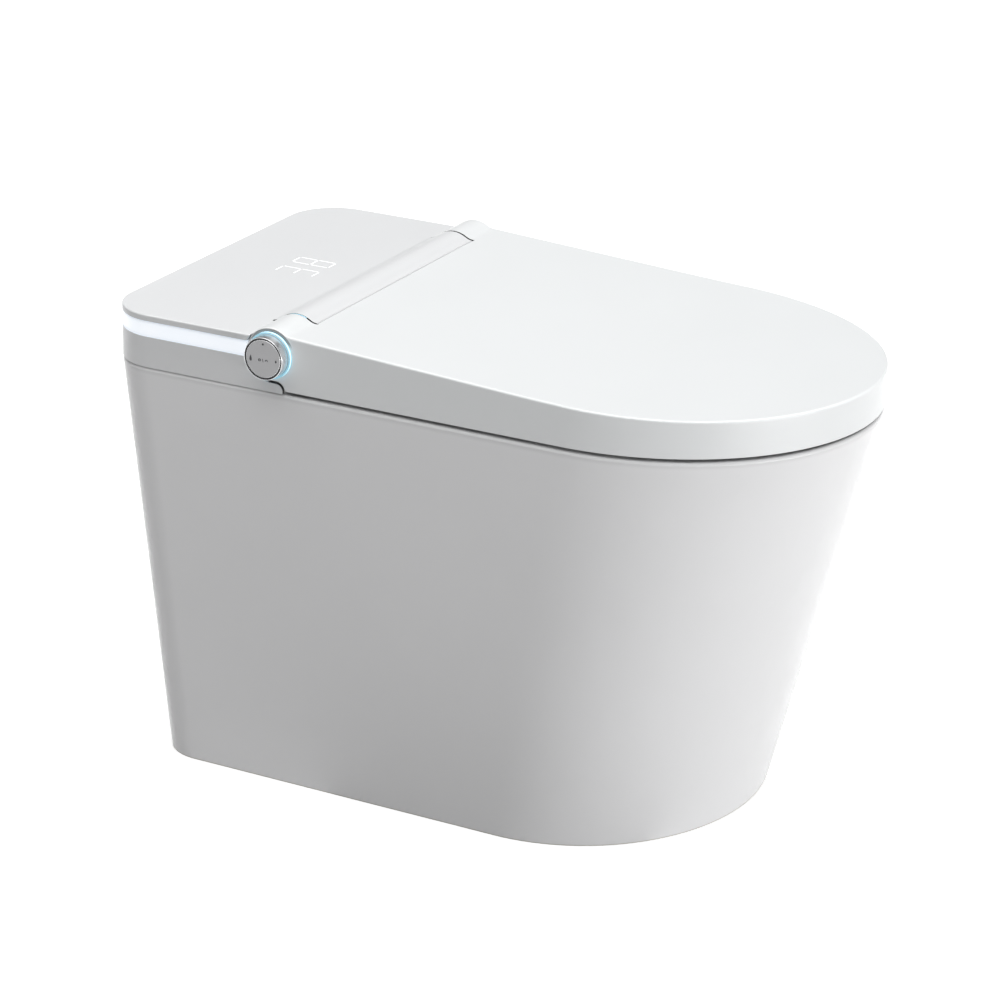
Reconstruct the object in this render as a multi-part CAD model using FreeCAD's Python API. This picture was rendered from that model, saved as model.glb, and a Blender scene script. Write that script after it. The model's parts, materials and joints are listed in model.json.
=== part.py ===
# Floor-standing smart toilet: china body, seat unit, lid, heated seat and washing works.
# Millimetres. +Z is up and the front points to -Y. The origin is the centre of the floor
# outlet, on the floor. The side with the knob is -X.
import FreeCAD, Part
import math
import os

V = FreeCAD.Vector

# Whole form
LENGTH = 700.0
WIDTH = 396.0
OUTLET_TO_REAR = 295.0
RIM_H = 399.0
FRONT_BOW = 214.5
REAR_CORNER_R = 51.0
OVERRUN = 2.0
SLIGHT = OVERRUN / 100
RUNNING_GAP = 0.06
SEAT_FIT = 0.2

# China body
BASE_SIDE_TUCK = 8.0
BASE_REAR_TUCK = 45.0
BASE_FRONT_TUCK = 101.6
BASE_BOW = 176.0
BASE_CORNER_R = 45.0
CHINA_WALL = 11.0
DECK_T = 14.0
RIM_EDGE_R = 3.5
BOWL_HALF_W = 140.0
BOWL_FRONT_LAND = 53.0
BOWL_REAR_Y = 8.0
BOWL_FLOOR_H = 100.0
BOWL_WALL = 9.5
BOWL_LIP_R = 4.0
# Each bowl section: depth, half width and half length as shares of the bowl's own sizes,
# and its backward shift as a share of the half length.
BOWL_SHARES = [
    (0.0, 1.0, 1.0, 0.0),
    (0.23, 0.971, 0.964, 0.003),
    (0.46, 0.843, 0.844, 0.028),
    (0.63, 0.657, 0.639, -0.017),
    (0.83, 0.393, 0.361, 0.011),
    (1.0, 0.229, 0.206, 0.111),
]
CHAMBER_SIDE_LAND = 43.0
CHAMBER_FRONT_Y = 128.0
CHAMBER_REAR_Y = 268.0
CHANNEL_HALF_W = 82.0
CHANNEL_DEPTH = 41.0
CHANNEL_WALL = 9.0
SHELF_H = 110.0
SHELF_T = 10.0
SHELF_FRONT_Y = 126.0

# Trap
TRAP_BORE_R = 26.0
TRAP_WALL = 9.0
THROAT_BACK = 27.0
THROAT_RISE = 1.0
THROAT_RUN = 26.0
CREST_Y = 38.0
CREST_Z = 179.0
CREST_R = 45.0
DOWNLEG_LEAN = math.radians(45)
DROP_R = 50.0
SPIGOT_H = 46.0

# Floor connection
OUTLET_BORE_R = 40.0
OUTLET_BORE_L = 40.0
CONNECTOR_WALL = 8.0
SOCKET_L = 9.0
SEAL_T = 14.0
SEAL_H = 12.0

# Hinge
HINGE_FROM_REAR = 186.4
HINGE_RISE = 36.7
BARREL_R = 26.0
KNUCKLE_GAP = 1.4
KNUCKLE_W = 48.0
KNUCKLE_SIDE_GAP = 0.9
LID_END_GAP = 1.8
RIDGE_FRONT_FILLET = 14.0
RIDGE_REAR_FILLET = 20.0
TUBE_R = 9.0
TUBE_BORE_R = 6.0
SHAFT_R = 6.0
BUSH_T = 2.9
SLEEVE_T = 2.9
DAMPER_R = 17.0
POST_T = 9.0
POST_R = 21.0
POST_FOOT = 46.0
INNER_POST_T = 7.0
INNER_POST_X = 96.0
INNER_POST_R = 18.0

# Lid
LID_GAP = 3.6
LID_FRONT_H = 34.4
LID_CROWN_L = 285.0
LID_TOP_RISE = 21.04
PITCH_ROUNDS = 12
LID_WALL = 4.0
LID_EDGE_R = 2.4
LID_REAR_GAP = 1.3
KNUCKLE_LIP = 4.0
LID_HUB_R = 15.0
LID_HUB_L = 7.0
CAP_R = 10.0
CAP_T = 1.8
LID_PAD_L = 16.0
LID_PAD_W = 8.0
# Places of the lid's pads, as shares of the seat's half width and of its length
LID_PAD_SHARES = [(0.62, 0.2), (0.84, 0.62)]

# Seat
SEAT_LIFT = 6.0
SEAT_H = 23.0
SEAT_BASE_T = 6.0
SEAT_GAP = 3.0
SEAT_REAR_FROM_HINGE = 34.0
SEAT_HOLE_HALF_W = 108.0
SEAT_FRONT_LAND = 70.0
SEAT_REAR_LAND = 112.6
SEAT_OUTER_R = 7.0
SEAT_INNER_R = 9.0
SEAT_SHELL = 3.5
SEAT_EDGE_SHARE = 1 / 3
SEAT_CORNER_R = 14.0
SEAT_HEATER_T = 0.8
SEAT_BARREL_R = 19.0
SEAT_ARM_IN = 4.0
SEAT_ARM_OUT_GAP = 2.0
SEAT_ARM_H = 18.0
SEAT_PAD_L = 26.0
SEAT_PAD_W = 11.0
SEAT_PAD_INSET = 20.0
# Places of the seat's pads: along its length, as shares of that length from the front
SEAT_PAD_SHARES = [0.36, 0.78]

# Seat unit housing
SEAM = 0.3
SKIRT_H = 30.2
SKIRT_WALL = 3.2
FLOOR_T = 3.0
FRONT_WALL_Y = 84.0
FRONT_WALL_T = 3.0
FRONT_WALL_H = 22.5
MOUTH_HALF_W = 80.0
MOUTH_H = 11.0
TAB_FROM_HINGE = 12.1
TAB_R = 7.0
MOUTH_BACK_Y = 118.0
KNUCKLE_WALL_T = 2.5
BAND_H = 15.5
BAND_INSET = 0.7
BAND_T = 3.2
BAND_FIT = 0.15
LED_T = 1.2
LED_H = 8.0
LED_GAP = 0.15
RAIL_T = 2.2
COVER_EDGE_H = 6.0
COVER_T = 3.0
COVER_EDGE_R = 1.6
COVER_LIP_ANGLE = math.radians(25)
SCREW_R = 2.0
SCREW_HEAD_R = 3.6
SCREW_HEAD_H = 2.6
SCREW_BITE = 14.0
BOSS_R = 5.0
BOSS_H = 22.0
SCREW_X = 118.0
SCREW_FRONT_Y = 144.0
SCREW_BEHIND_BOX = 14.0
BOLT_R = 3.0
BOLT_HEAD_R = 6.0
BOLT_HEAD_H = 4.0
BOLT_FROM_SIDE = 28.0
BOLT_Y = 147.0
NUT_H = 5.0
BOLT_TAIL = 3.0

# Display
DIGIT_X = 4.5
DIGIT_Y = 192.5
DIGIT_PITCH = 32.0
DIGIT_W = 17.5
DIGIT_H = 42.0
STROKE = 1.5
STROKE_GAP = 0.5
SLOT_FIT = 0.08
BOARD_MARGIN = 12.0
BOARD_T = 1.8
BOARD_GAP = 0.1
# Lit bars of each digit: upper, upper left, upper right, middle, lower left, lower right, lower
THREE = (1, 0, 1, 1, 0, 1, 1)
EIGHT = (1, 1, 1, 1, 1, 1, 1)

# Knob
KNOB_GAP = 0.5
KNOB_BASE_R = 20.6
KNOB_BASE_T = 3.0
GLOW_RING_T = 1.8
GLOW_RING_L = 2.3
KNOB_RING_R = 20.4
KNOB_RING_WALL = 1.4
KNOB_RING_L = 9.8
KNOB_RING_LIFT = 0.4
KNOB_RING_EDGE_R = 0.9
KNOB_WEB_T = 2.0
KNOB_WEB_LIFT = 1.6
SPINDLE_R = 10.0
SPINDLE_L = 4.6
FACE_GAP = 0.9
FACE_T = 2.6
FACE_EDGE_R = 0.7
STEM_R = 4.3
STEM_GAP = 0.08
STEM_L = 10.5
SOCKET_SLEEVE_L = 18.0
SWITCH_L = 12.0
PRESS_TRAVEL = 2.0
SWITCH_CLEAR = 0.2

# Nozzles
NOZZLE_TIP_Y = 64.0
NOZZLE_DROP = 11.0
NOZZLE_TILT = math.radians(16)
NOZZLE_X = 10.2
WAND_R = 6.5
WAND_L = 158.0
WAND_TRAVEL = 100.0
WAND_TIP_R = 3.0
WAND_SPOUT_R = 1.1
WAND_SPOUT_BACK = 9.0
WAND_SPOUT_STEP = 4.0
WAND_SPOUT_COUNT = 3
GUIDE_FIT = 0.12
GUIDE_WALL = 2.4
GUIDE_START = 18.0
GUIDE_L = 62.0
GUIDE_TOP = 6.0
GEAR_MODULE = 0.8
PRESSURE_ANGLE = math.radians(20)
PINION_TEETH = 18
GEAR_W = 4.0
GEAR_ROOT_SPARE = 0.3
TOOTH_THIN = 0.16
PINION_AT = 50.0
RACK_MARGIN = 6.0
PINION_SHAFT_R = 2.0
MOTOR_R = 11.0
MOTOR_L = 18.0
BRACKET_T = 2.2
BRACKET_HALF_L = 10.0
BRACKET_RISE = 6.6
FLANGE_L = 18.0
FLANGE_W = 13.0
FLANGE_T = 3.0
FLANGE_Y = 121.0
FLANGE_GAP = 0.1
INLET_BLOCK_L = 9.0
INLET_BLOCK_H = 15.0

# Blowers
DUCT_X = 60.0
DUCT_W = 34.0
DUCT_WALL = 1.8
DUCT_MOUTH_Y = 62.0
DUCT_MOUTH_DROP = 20.0
DUCT_H = 15.0
DUCT_KNEE_Y = 112.0
DUCT_NECK_Y = 128.0
SCROLL_X = 70.0
SCROLL_Y = 186.0
SCROLL_R = 31.0
SCROLL_H = 27.0
SCROLL_WALL = 1.8
IMPELLER_R = 24.0
IMPELLER_HUB_R = 11.0
IMPELLER_LIFT = 2.5
IMPELLER_PLATE = 1.6
IMPELLER_H = 19.0
BLADE_T = 1.2
BLADE_L = 7.0
BLADE_COUNT = 24
FAN_MOTOR_R = 13.0
FAN_MOTOR_H = 12.0
FAN_SHAFT_R = 2.0
HEATER_FIN_T = 1.0
HEATER_FIN_COUNT = 7
HEATER_L = 16.0
FLAP_T = 1.6
FLAP_PIN_R = 1.2
FLAP_GAP = 0.4
FILTER_W = 40.0
FILTER_L = 26.0
FILTER_H = 22.0
FILTER_WALL = 2.0
FILTER_SLOT_COUNT = 5

# Electronics and water heater in the housing
BOX_GAP = 3.0
BOX_FROM_SIDE = 22.0
BOX_Y = 156.0
BOX_L = 92.0
CASE_H = 24.0
CASE_WALL = 2.0
CASE_LEDGE = 5.0
PCB_T = 1.6
RELAY_W = 16.0
RELAY_L = 22.0
RELAY_COUNT = 3
RELAY_H = 12.0
CAPACITOR_R = 6.0
CAPACITOR_COUNT = 4
CAPACITOR_H = 10.0
HEATER_BOX_H = 36.0
HEATER_EDGE_R = 6.0
HEATER_PORT_R = 5.0
HEATER_PORT_L = 6.0
HEATER_PORT_BACK = 15.0
HOSE_R = 6.0
HOSE_BORE_R = 4.0
WASH_HOSE_R = 4.5
WASH_HOSE_BORE_R = 3.0
WASH_BEND_R = 14.0

# Flush works in the rear chamber
TANK_FROM_SIDE = 46.0
TANK_LINK_L = 57.0
TANK_Y0 = 134.0
TANK_Y1 = 243.0
TANK_DROP = 74.0
TANK_WALL = 3.0
TANK_EDGE_R = 14.0
VALVE_SHARE = 0.43
VALVE_Y = 224.0
VALVE_W = 46.0
VALVE_L = 44.0
VALVE_H = 88.0
VALVE_COIL_R = 15.0
VALVE_COIL_L = 13.0
PUMP_FROM_SIDE = 63.0
PUMP_Y = 164.0
PUMP_R = 29.0
PUMP_H = 42.0
PUMP_MOTOR_R = 24.0
PUMP_MOTOR_H = 80.0
LINK_R = 9.0
LINK_BORE_R = 6.5
FLUSH_R = 11.0
FLUSH_BORE_R = 8.5
FLUSH_BEND_R = 24.0
FLUSH_RISE_Y = 92.0
FLUSH_DROP = 74.0
FLUSH_OUT_Z = 130.0
SPOUT_SPAN = 75.0
SPOUT_BACK_Y = 50.0
SPOUT_REACH = 5.0
SPOUT_WALL = 2.5

# Water and power inlets in the rear wall
INLET_Z = 156.0
INLET_R = 10.48
INLET_SHANK_R = 11.6
INLET_BORE_R = 7.0
INLET_FREE_L = 14.0
INLET_NUT_ACROSS = 28.0
INLET_NUT_T = 6.0
INLET_SOCKET = 8.0
SPOT_R = 19.0
SPOT_SINK = 2.4
HOLE_FIT = 0.3
GLAND_R = 9.0
GLAND_BORE_R = 4.0
GLAND_FLANGE_R = 14.0
GLAND_FLANGE_T = 4.0
GLAND_NOSE_L = 10.0
GLAND_TAIL_L = 16.0

# Places that follow from the sizes above
HALF_W = WIDTH / 2
REAR_Y = OUTLET_TO_REAR
FRONT_Y = REAR_Y - LENGTH
BOW_Y = FRONT_Y + FRONT_BOW
HINGE_Y = REAR_Y - HINGE_FROM_REAR
HINGE_Z = RIM_H + HINGE_RISE
RIDGE_REAR_Y = HINGE_Y + BARREL_R
RIDGE_TOP = HINGE_Z + BARREL_R
CENTRE_HALF_W = HALF_W - KNUCKLE_W
KNUCKLE_X = CENTRE_HALF_W + KNUCKLE_SIDE_GAP
CLEAR_R = BARREL_R + KNUCKLE_GAP
TAB_TOP = HINGE_Z - CLEAR_R
TAB_Y = HINGE_Y - TAB_FROM_HINGE
LID_Z0 = RIM_H + LID_GAP
LID_FRONT_Z = LID_Z0 + LID_FRONT_H
LID_INNER_X = HALF_W - LID_WALL
SKIRT_Z0 = RIM_H + SEAM
FLOOR_Z = SKIRT_Z0 + FLOOR_T
SKIRT_TOP = SKIRT_Z0 + SKIRT_H
BAND_TOP = SKIRT_TOP + BAND_H
COVER_TOP = BAND_TOP + COVER_EDGE_H
COVER_UNDER = COVER_TOP - COVER_T
SEAT_Z0 = RIM_H + SEAT_LIFT
SEAT_SPLIT_Z = SEAT_Z0 + SEAT_BASE_T
SEAT_TOP_Z = SEAT_Z0 + SEAT_H
SEAT_INSET = LID_WALL + SEAT_GAP
SEAT_REAR_Y = HINGE_Y - SEAT_REAR_FROM_HINGE
SEAT_FRONT_Y = FRONT_Y + SEAT_INSET
SEAT_L = SEAT_REAR_Y - SEAT_FRONT_Y
SEAT_HOLE_HALF_L = (SEAT_L - SEAT_FRONT_LAND - SEAT_REAR_LAND) / 2
SEAT_HOLE_Y = SEAT_FRONT_Y + SEAT_FRONT_LAND + SEAT_HOLE_HALF_L
POST_X = CENTRE_HALF_W - POST_T
KNUCKLE_WALL_Y = RIDGE_REAR_Y + KNUCKLE_GAP
RAIL_INSET = BAND_INSET + BAND_T + LED_T + 2 * LED_GAP
SHELF_TOP = SHELF_H
CHANNEL_Z = RIM_H - CHANNEL_DEPTH
BOWL_HALF_L = (BOWL_REAR_Y - FRONT_Y - BOWL_FRONT_LAND) / 2
BOWL_Y = BOWL_REAR_Y - BOWL_HALF_L
BOWL_DEPTH = RIM_H - BOWL_FLOOR_H
THROAT_Y = BOWL_Y + BOWL_HALF_L * BOWL_SHARES[-1][3] + THROAT_BACK
THROAT_Z = BOWL_FLOOR_H + THROAT_RISE
CHAMBER_HALF_W = HALF_W - CHAMBER_SIDE_LAND
TRAP_R = TRAP_BORE_R + TRAP_WALL
NOZZLE_Z = RIM_H - NOZZLE_DROP
GEAR_R = GEAR_MODULE * PINION_TEETH / 2
RACK_ROOT = WAND_R + GEAR_ROOT_SPARE
RACK_PITCH_LINE = RACK_ROOT + GEAR_MODULE + GEAR_ROOT_SPARE
PINION_RISE = RACK_PITCH_LINE + GEAR_R
GUIDE_HALF_W = NOZZLE_X + WAND_R + GUIDE_FIT + GUIDE_WALL
DUCT_MOUTH_Z = RIM_H - DUCT_MOUTH_DROP
BOLT_X = HALF_W - BOLT_FROM_SIDE
BOX_X = SCROLL_X + SCROLL_R + BOX_GAP
BOX_W = HALF_W - BOX_FROM_SIDE - BOX_X
SCREW_REAR_Y = BOX_Y + BOX_L + SCREW_BEHIND_BOX
VALVE_X = BOX_X + BOX_W * VALVE_SHARE
INLET_X = VALVE_X
PUMP_X = HALF_W - PUMP_FROM_SIDE
SPOUT_X = PUMP_X - SPOUT_SPAN
TANK_X0 = -HALF_W + TANK_FROM_SIDE
TANK_X1 = PUMP_X - TANK_LINK_L
TANK_H = RIM_H - TANK_DROP - SHELF_H
FLUSH_Z = RIM_H - FLUSH_DROP


# Building blocks

def yz(y, z):
    return V(0, y, z)


def line(a, b):
    return Part.makeLine(a, b)


def arc(a, middle, b):
    return Part.Arc(a, middle, b).toShape()


def quarter(a, corner, b):
    """Quarter of an ellipse from a to b, whose end tangents meet at corner."""
    curve = Part.BezierCurve()
    curve.setPoles([a, corner, b])
    curve.setWeight(2, math.sqrt(0.5))
    return curve.toShape()


def box(x0, x1, y0, y1, z0, z1):
    return Part.makeBox(x1 - x0, y1 - y0, z1 - z0, V(x0, y0, z0))


def rod(start, end, radius):
    axis = end - start
    return Part.makeCylinder(radius, axis.Length, start, axis)


def pipe(start, end, bore, radius):
    reach = (end - start).normalize() * OVERRUN
    return rod(start, end, radius).cut(rod(start - reach, end + reach, bore))


def hinge_rod(x0, x1, radius):
    return rod(V(x0, HINGE_Y, HINGE_Z), V(x1, HINGE_Y, HINGE_Z), radius)


def hinge_pipe(x0, x1, bore, radius):
    return pipe(V(x0, HINGE_Y, HINGE_Z), V(x1, HINGE_Y, HINGE_Z), bore, radius)


def upright(x, y, z0, z1, radius):
    return rod(V(x, y, z0), V(x, y, z1), radius)


def prism_x(edges, x0, x1):
    """Solid of a closed outline in the YZ plane, from x0 to x1."""
    face = Part.Face(Part.Wire(edges))
    face.translate(V(x0, 0, 0))
    return face.extrude(V(x1 - x0, 0, 0))


def polygon_x(points, x0, x1):
    return prism_x(Part.makePolygon(points + points[:1]).Edges, x0, x1)


def mirrored(shape):
    return shape.mirror(V(0, 0, 0), V(1, 0, 0))


def both_sides(shape):
    return shape.fuse(mirrored(shape))


def pair(shape):
    return Part.makeCompound([shape, mirrored(shape)])


def level_edges(shape, z):
    """Edges that lie flat at height z."""
    return [edge for edge in shape.Edges
            if max(abs(vertex.Z - z) for vertex in edge.Vertexes) < SLIGHT
            and abs(edge.BoundBox.ZLength) < SLIGHT]


def upright_edges(shape):
    return [edge for edge in shape.Edges
            if edge.BoundBox.XLength + edge.BoundBox.YLength < SLIGHT]


def plan_edges(half_w, rear_y, corner_r, bow_y, front_y, z):
    """Outline from above: half-oval front, straight sides, rounded rear corners."""
    side = rear_y - corner_r
    inner = half_w - corner_r
    return [
        line(V(-half_w, bow_y, z), V(-half_w, side, z)),
        quarter(V(-half_w, side, z), V(-half_w, rear_y, z), V(-inner, rear_y, z)),
        line(V(-inner, rear_y, z), V(inner, rear_y, z)),
        quarter(V(inner, rear_y, z), V(half_w, rear_y, z), V(half_w, side, z)),
        line(V(half_w, side, z), V(half_w, bow_y, z)),
        quarter(V(half_w, bow_y, z), V(half_w, front_y, z), V(0, front_y, z)),
        quarter(V(0, front_y, z), V(-half_w, front_y, z), V(-half_w, bow_y, z)),
    ]


def top_outline(inset, z0, z1):
    """Upright solid on the outline that the rim and the housing share."""
    edges = plan_edges(HALF_W - inset, REAR_Y - inset, REAR_CORNER_R - inset, BOW_Y,
                       FRONT_Y + inset, z0)
    return Part.Face(Part.Wire(edges)).extrude(V(0, 0, z1 - z0))


def lid_outline(inset, rear_y, z0, z1):
    """Upright solid on the outline of the lid or seat, square across its rear."""
    half = HALF_W - inset
    front = FRONT_Y + inset
    edges = [
        line(V(-half, BOW_Y, z0), V(-half, rear_y, z0)),
        line(V(-half, rear_y, z0), V(half, rear_y, z0)),
        line(V(half, rear_y, z0), V(half, BOW_Y, z0)),
        quarter(V(half, BOW_Y, z0), V(half, front, z0), V(0, front, z0)),
        quarter(V(0, front, z0), V(-half, front, z0), V(-half, BOW_Y, z0)),
    ]
    return Part.Face(Part.Wire(edges)).extrude(V(0, 0, z1 - z0))


def oval_wire(half_w, half_l, y, z):
    right, back = V(half_w, y, z), V(0, y + half_l, z)
    left, front = V(-half_w, y, z), V(0, y - half_l, z)
    return Part.Wire([
        quarter(right, V(half_w, y + half_l, z), back),
        quarter(back, V(-half_w, y + half_l, z), left),
        quarter(left, V(-half_w, y - half_l, z), front),
        quarter(front, V(half_w, y - half_l, z), right),
    ])


def tube_path(points, bend_r):
    """Straight runs through the points, joined by tangent arcs."""
    edges = []
    start = points[0]
    for before, corner, after in zip(points, points[1:], points[2:]):
        back = (before - corner).normalize()
        ahead = (after - corner).normalize()
        half_turn = (math.pi - back.getAngle(ahead)) / 2
        leave = corner + back * (bend_r * math.tan(half_turn))
        join = corner + ahead * (bend_r * math.tan(half_turn))
        inward = (back + ahead).normalize()
        middle = corner + inward * (bend_r / math.cos(half_turn) - bend_r)
        edges += [line(start, leave), arc(leave, middle, join)]
        start = join
    return Part.Wire(edges + [line(start, points[-1])])


def swept(path, radius):
    first = path.Edges[0]
    ring = Part.makeCircle(radius, first.valueAt(first.FirstParameter),
                           first.tangentAt(first.FirstParameter))
    return path.makePipeShell([Part.Wire([ring])], True, False)


# China body

def china_section(z, inset):
    share = z / RIM_H

    def between(low, high):
        return low + (high - low) * share
    base_front = FRONT_Y + BASE_FRONT_TUCK
    return Part.Wire(plan_edges(
        between(HALF_W - BASE_SIDE_TUCK, HALF_W) - inset,
        between(REAR_Y - BASE_REAR_TUCK, REAR_Y) - inset,
        between(BASE_CORNER_R, REAR_CORNER_R) - inset,
        between(base_front + BASE_BOW, BOW_Y),
        between(base_front, FRONT_Y) + inset, z))


def china_loft(z0, z1, inset):
    return Part.makeLoft([china_section(z0, inset), china_section(z1, inset)], True, True)


def rear_wall_y(z):
    return REAR_Y - BASE_REAR_TUCK * (1 - z / RIM_H)


def spot_face_y(z):
    return rear_wall_y(z) - SPOT_SINK


def bowl_solid(wall):
    sections = []
    for depth, half_w, half_l, shift in BOWL_SHARES:
        sections.append(oval_wire(BOWL_HALF_W * half_w + wall, BOWL_HALF_L * half_l + wall,
                                  BOWL_Y + BOWL_HALF_L * shift, RIM_H - BOWL_DEPTH * depth))
    return Part.makeLoft(sections, True, False)


def bowl_floor():
    """Thick floor under the sump, as wide as the bowl's outside there."""
    depth, half_w, half_l, shift = BOWL_SHARES[-1]
    rim = oval_wire(BOWL_HALF_W * half_w + BOWL_WALL, BOWL_HALF_L * half_l + BOWL_WALL,
                    BOWL_Y + BOWL_HALF_L * shift, RIM_H - BOWL_DEPTH * depth)
    return Part.Face(rim).extrude(V(0, 0, -BOWL_WALL))


def bowl_back_y(x, depth):
    """Rear of the bowl's inside at a distance from its middle, between two of its sections."""
    for above, below in zip(BOWL_SHARES, BOWL_SHARES[1:]):
        if below[0] * BOWL_DEPTH >= depth:
            break
    part_share = (depth / BOWL_DEPTH - above[0]) / (below[0] - above[0])
    half_w, half_l, shift = [low + (high - low) * part_share
                             for low, high in zip(above[1:], below[1:])]
    bulge = math.sqrt(1 - (x / (BOWL_HALF_W * half_w)) ** 2)
    return BOWL_Y + BOWL_HALF_L * (shift + half_l * bulge)


def trap_path(lead):
    """Middle line of the trap, from below the sump to its spigot, starting earlier by lead."""
    throat = yz(THROAT_Y, THROAT_Z)
    crest = yz(CREST_Y, CREST_Z)
    reach = (crest - throat).Length
    slope = math.atan2(CREST_Z - THROAT_Z, CREST_Y - THROAT_Y) + math.asin(CREST_R / reach)
    up = yz(math.cos(slope), math.sin(slope))
    crest_in = throat + up * math.sqrt(reach ** 2 - CREST_R ** 2)

    def on_crest(angle):
        return crest + yz(math.cos(angle), math.sin(angle)) * CREST_R
    first = math.pi / 2 + slope
    last = -DOWNLEG_LEAN
    crest_out = on_crest(last)
    turn = DROP_R * (1 - math.cos(DOWNLEG_LEAN))
    run = (crest_out.y - turn) / math.sin(DOWNLEG_LEAN)
    bend = crest_out - yz(math.sin(DOWNLEG_LEAN), math.cos(DOWNLEG_LEAN)) * run
    drop_z = bend.z - DROP_R * math.sin(DOWNLEG_LEAN)
    half = DOWNLEG_LEAN / 2
    middle = yz(DROP_R * (1 - math.cos(half)), drop_z + DROP_R * math.sin(half))
    return Part.Wire([
        line(throat - up * (THROAT_RUN + lead), crest_in),
        arc(crest_in, on_crest((first + last) / 2), crest_out),
        line(crest_out, bend),
        arc(bend, middle, yz(0, drop_z)),
        line(yz(0, drop_z), yz(0, SPIGOT_H)),
    ])


def ceramic_body():
    skirt = china_loft(0, RIM_H, 0)
    skirt = skirt.makeFillet(RIM_EDGE_R, level_edges(skirt, RIM_H))
    hollow = china_loft(-OVERRUN, RIM_H - DECK_T, CHINA_WALL)
    shelf = hollow.common(box(-HALF_W, HALF_W, SHELF_FRONT_Y, REAR_Y, SHELF_H - SHELF_T, SHELF_H))
    channel_out = CHANNEL_HALF_W + CHANNEL_WALL
    channel = box(-channel_out, channel_out, BOWL_Y, CHAMBER_FRONT_Y,
                  CHANNEL_Z - CHANNEL_WALL, RIM_H - DECK_T / 2)
    trap = swept(trap_path(TRAP_WALL), TRAP_R)
    body = skirt.cut(hollow).fuse([bowl_solid(BOWL_WALL), bowl_floor(), trap, shelf, channel])
    top = RIM_H + OVERRUN
    mouth_wire = oval_wire(BOWL_HALF_W, BOWL_HALF_L, BOWL_Y, RIM_H)
    bowl_mouth = Part.Face(mouth_wire).extrude(V(0, 0, OVERRUN))
    chamber = box(-CHAMBER_HALF_W, CHAMBER_HALF_W, CHAMBER_FRONT_Y, CHAMBER_REAR_Y,
                  RIM_H - DECK_T - OVERRUN, top)
    channel_cut = box(-CHANNEL_HALF_W, CHANNEL_HALF_W, BOWL_Y, CHAMBER_FRONT_Y + OVERRUN,
                      CHANNEL_Z, top)
    spigot_end = upright(0, 0, 0, SPIGOT_H + OVERRUN, TRAP_BORE_R)
    spout_r = FLUSH_R + SEAT_FIT
    holes = [
        bowl_solid(0), bowl_mouth, swept(trap_path(0), TRAP_BORE_R), spigot_end,
        chamber, channel_cut,
        rod(V(SPOUT_X, BOWL_Y, FLUSH_Z), V(SPOUT_X, SPOUT_BACK_Y, FLUSH_Z), spout_r),
        upright(BOLT_X, BOLT_Y, RIM_H - DECK_T - OVERRUN, top, BOLT_R + HOLE_FIT),
        upright(-BOLT_X, BOLT_Y, RIM_H - DECK_T - OVERRUN, top, BOLT_R + HOLE_FIT),
        upright(VALVE_X, VALVE_Y, RIM_H - DECK_T - OVERRUN, top, HOSE_R + SEAT_FIT),
    ]
    inside = rear_wall_y(INLET_Z) - CHINA_WALL - SPOT_R
    face_y = spot_face_y(INLET_Z)
    for x, radius in ((INLET_X, INLET_SHANK_R), (-INLET_X, GLAND_R)):
        holes.append(rod(V(x, inside, INLET_Z), V(x, REAR_Y, INLET_Z), radius + HOLE_FIT))
        holes.append(rod(V(x, face_y, INLET_Z), V(x, REAR_Y, INLET_Z), SPOT_R))
    for hole in holes:
        body = body.cut(hole)
    body = body.removeSplitter()
    lip = [e for e in level_edges(body, RIM_H) if e.BoundBox.YMin > FRONT_Y + CHINA_WALL
           and e.BoundBox.YMax < CHAMBER_FRONT_Y + OVERRUN and e.BoundBox.YLength > BOWL_LIP_R]
    return body.makeFillet(BOWL_LIP_R, lip)


def outlet_connector():
    top = SPIGOT_H + SOCKET_L
    step = SPIGOT_H - SEAT_FIT
    body = upright(0, 0, 0, top, OUTLET_BORE_R + CONNECTOR_WALL)
    body = body.cut(upright(0, 0, -OVERRUN, OUTLET_BORE_L, OUTLET_BORE_R))
    body = body.cut(upright(0, 0, 0, top, TRAP_BORE_R))
    return body.cut(upright(0, 0, step, top + OVERRUN, TRAP_R + SEAT_FIT))


def floor_seal():
    inner = OUTLET_BORE_R + CONNECTOR_WALL + SEAT_FIT
    return pipe(V(0, 0, 0), V(0, 0, SEAL_H), inner, inner + SEAL_T)


# Flush works

def flush_tank():
    z0 = SHELF_TOP
    body = box(TANK_X0, TANK_X1, TANK_Y0, TANK_Y1, z0, z0 + TANK_H)
    body = body.makeFillet(TANK_EDGE_R, upright_edges(body))
    core = box(TANK_X0 + TANK_WALL, TANK_X1 - TANK_WALL, TANK_Y0 + TANK_WALL, TANK_Y1 - TANK_WALL,
               z0 + TANK_WALL, z0 + TANK_H - TANK_WALL)
    body = body.cut(core.makeFillet(TANK_EDGE_R - TANK_WALL, upright_edges(core)))
    inside = TANK_X1 - TANK_WALL - OVERRUN
    for y, z in ((VALVE_Y, INLET_Z), (PUMP_Y, FLUSH_OUT_Z)):
        body = body.cut(rod(V(inside, y, z), V(TANK_X1 + OVERRUN, y, z), LINK_BORE_R))
    return body


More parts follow.
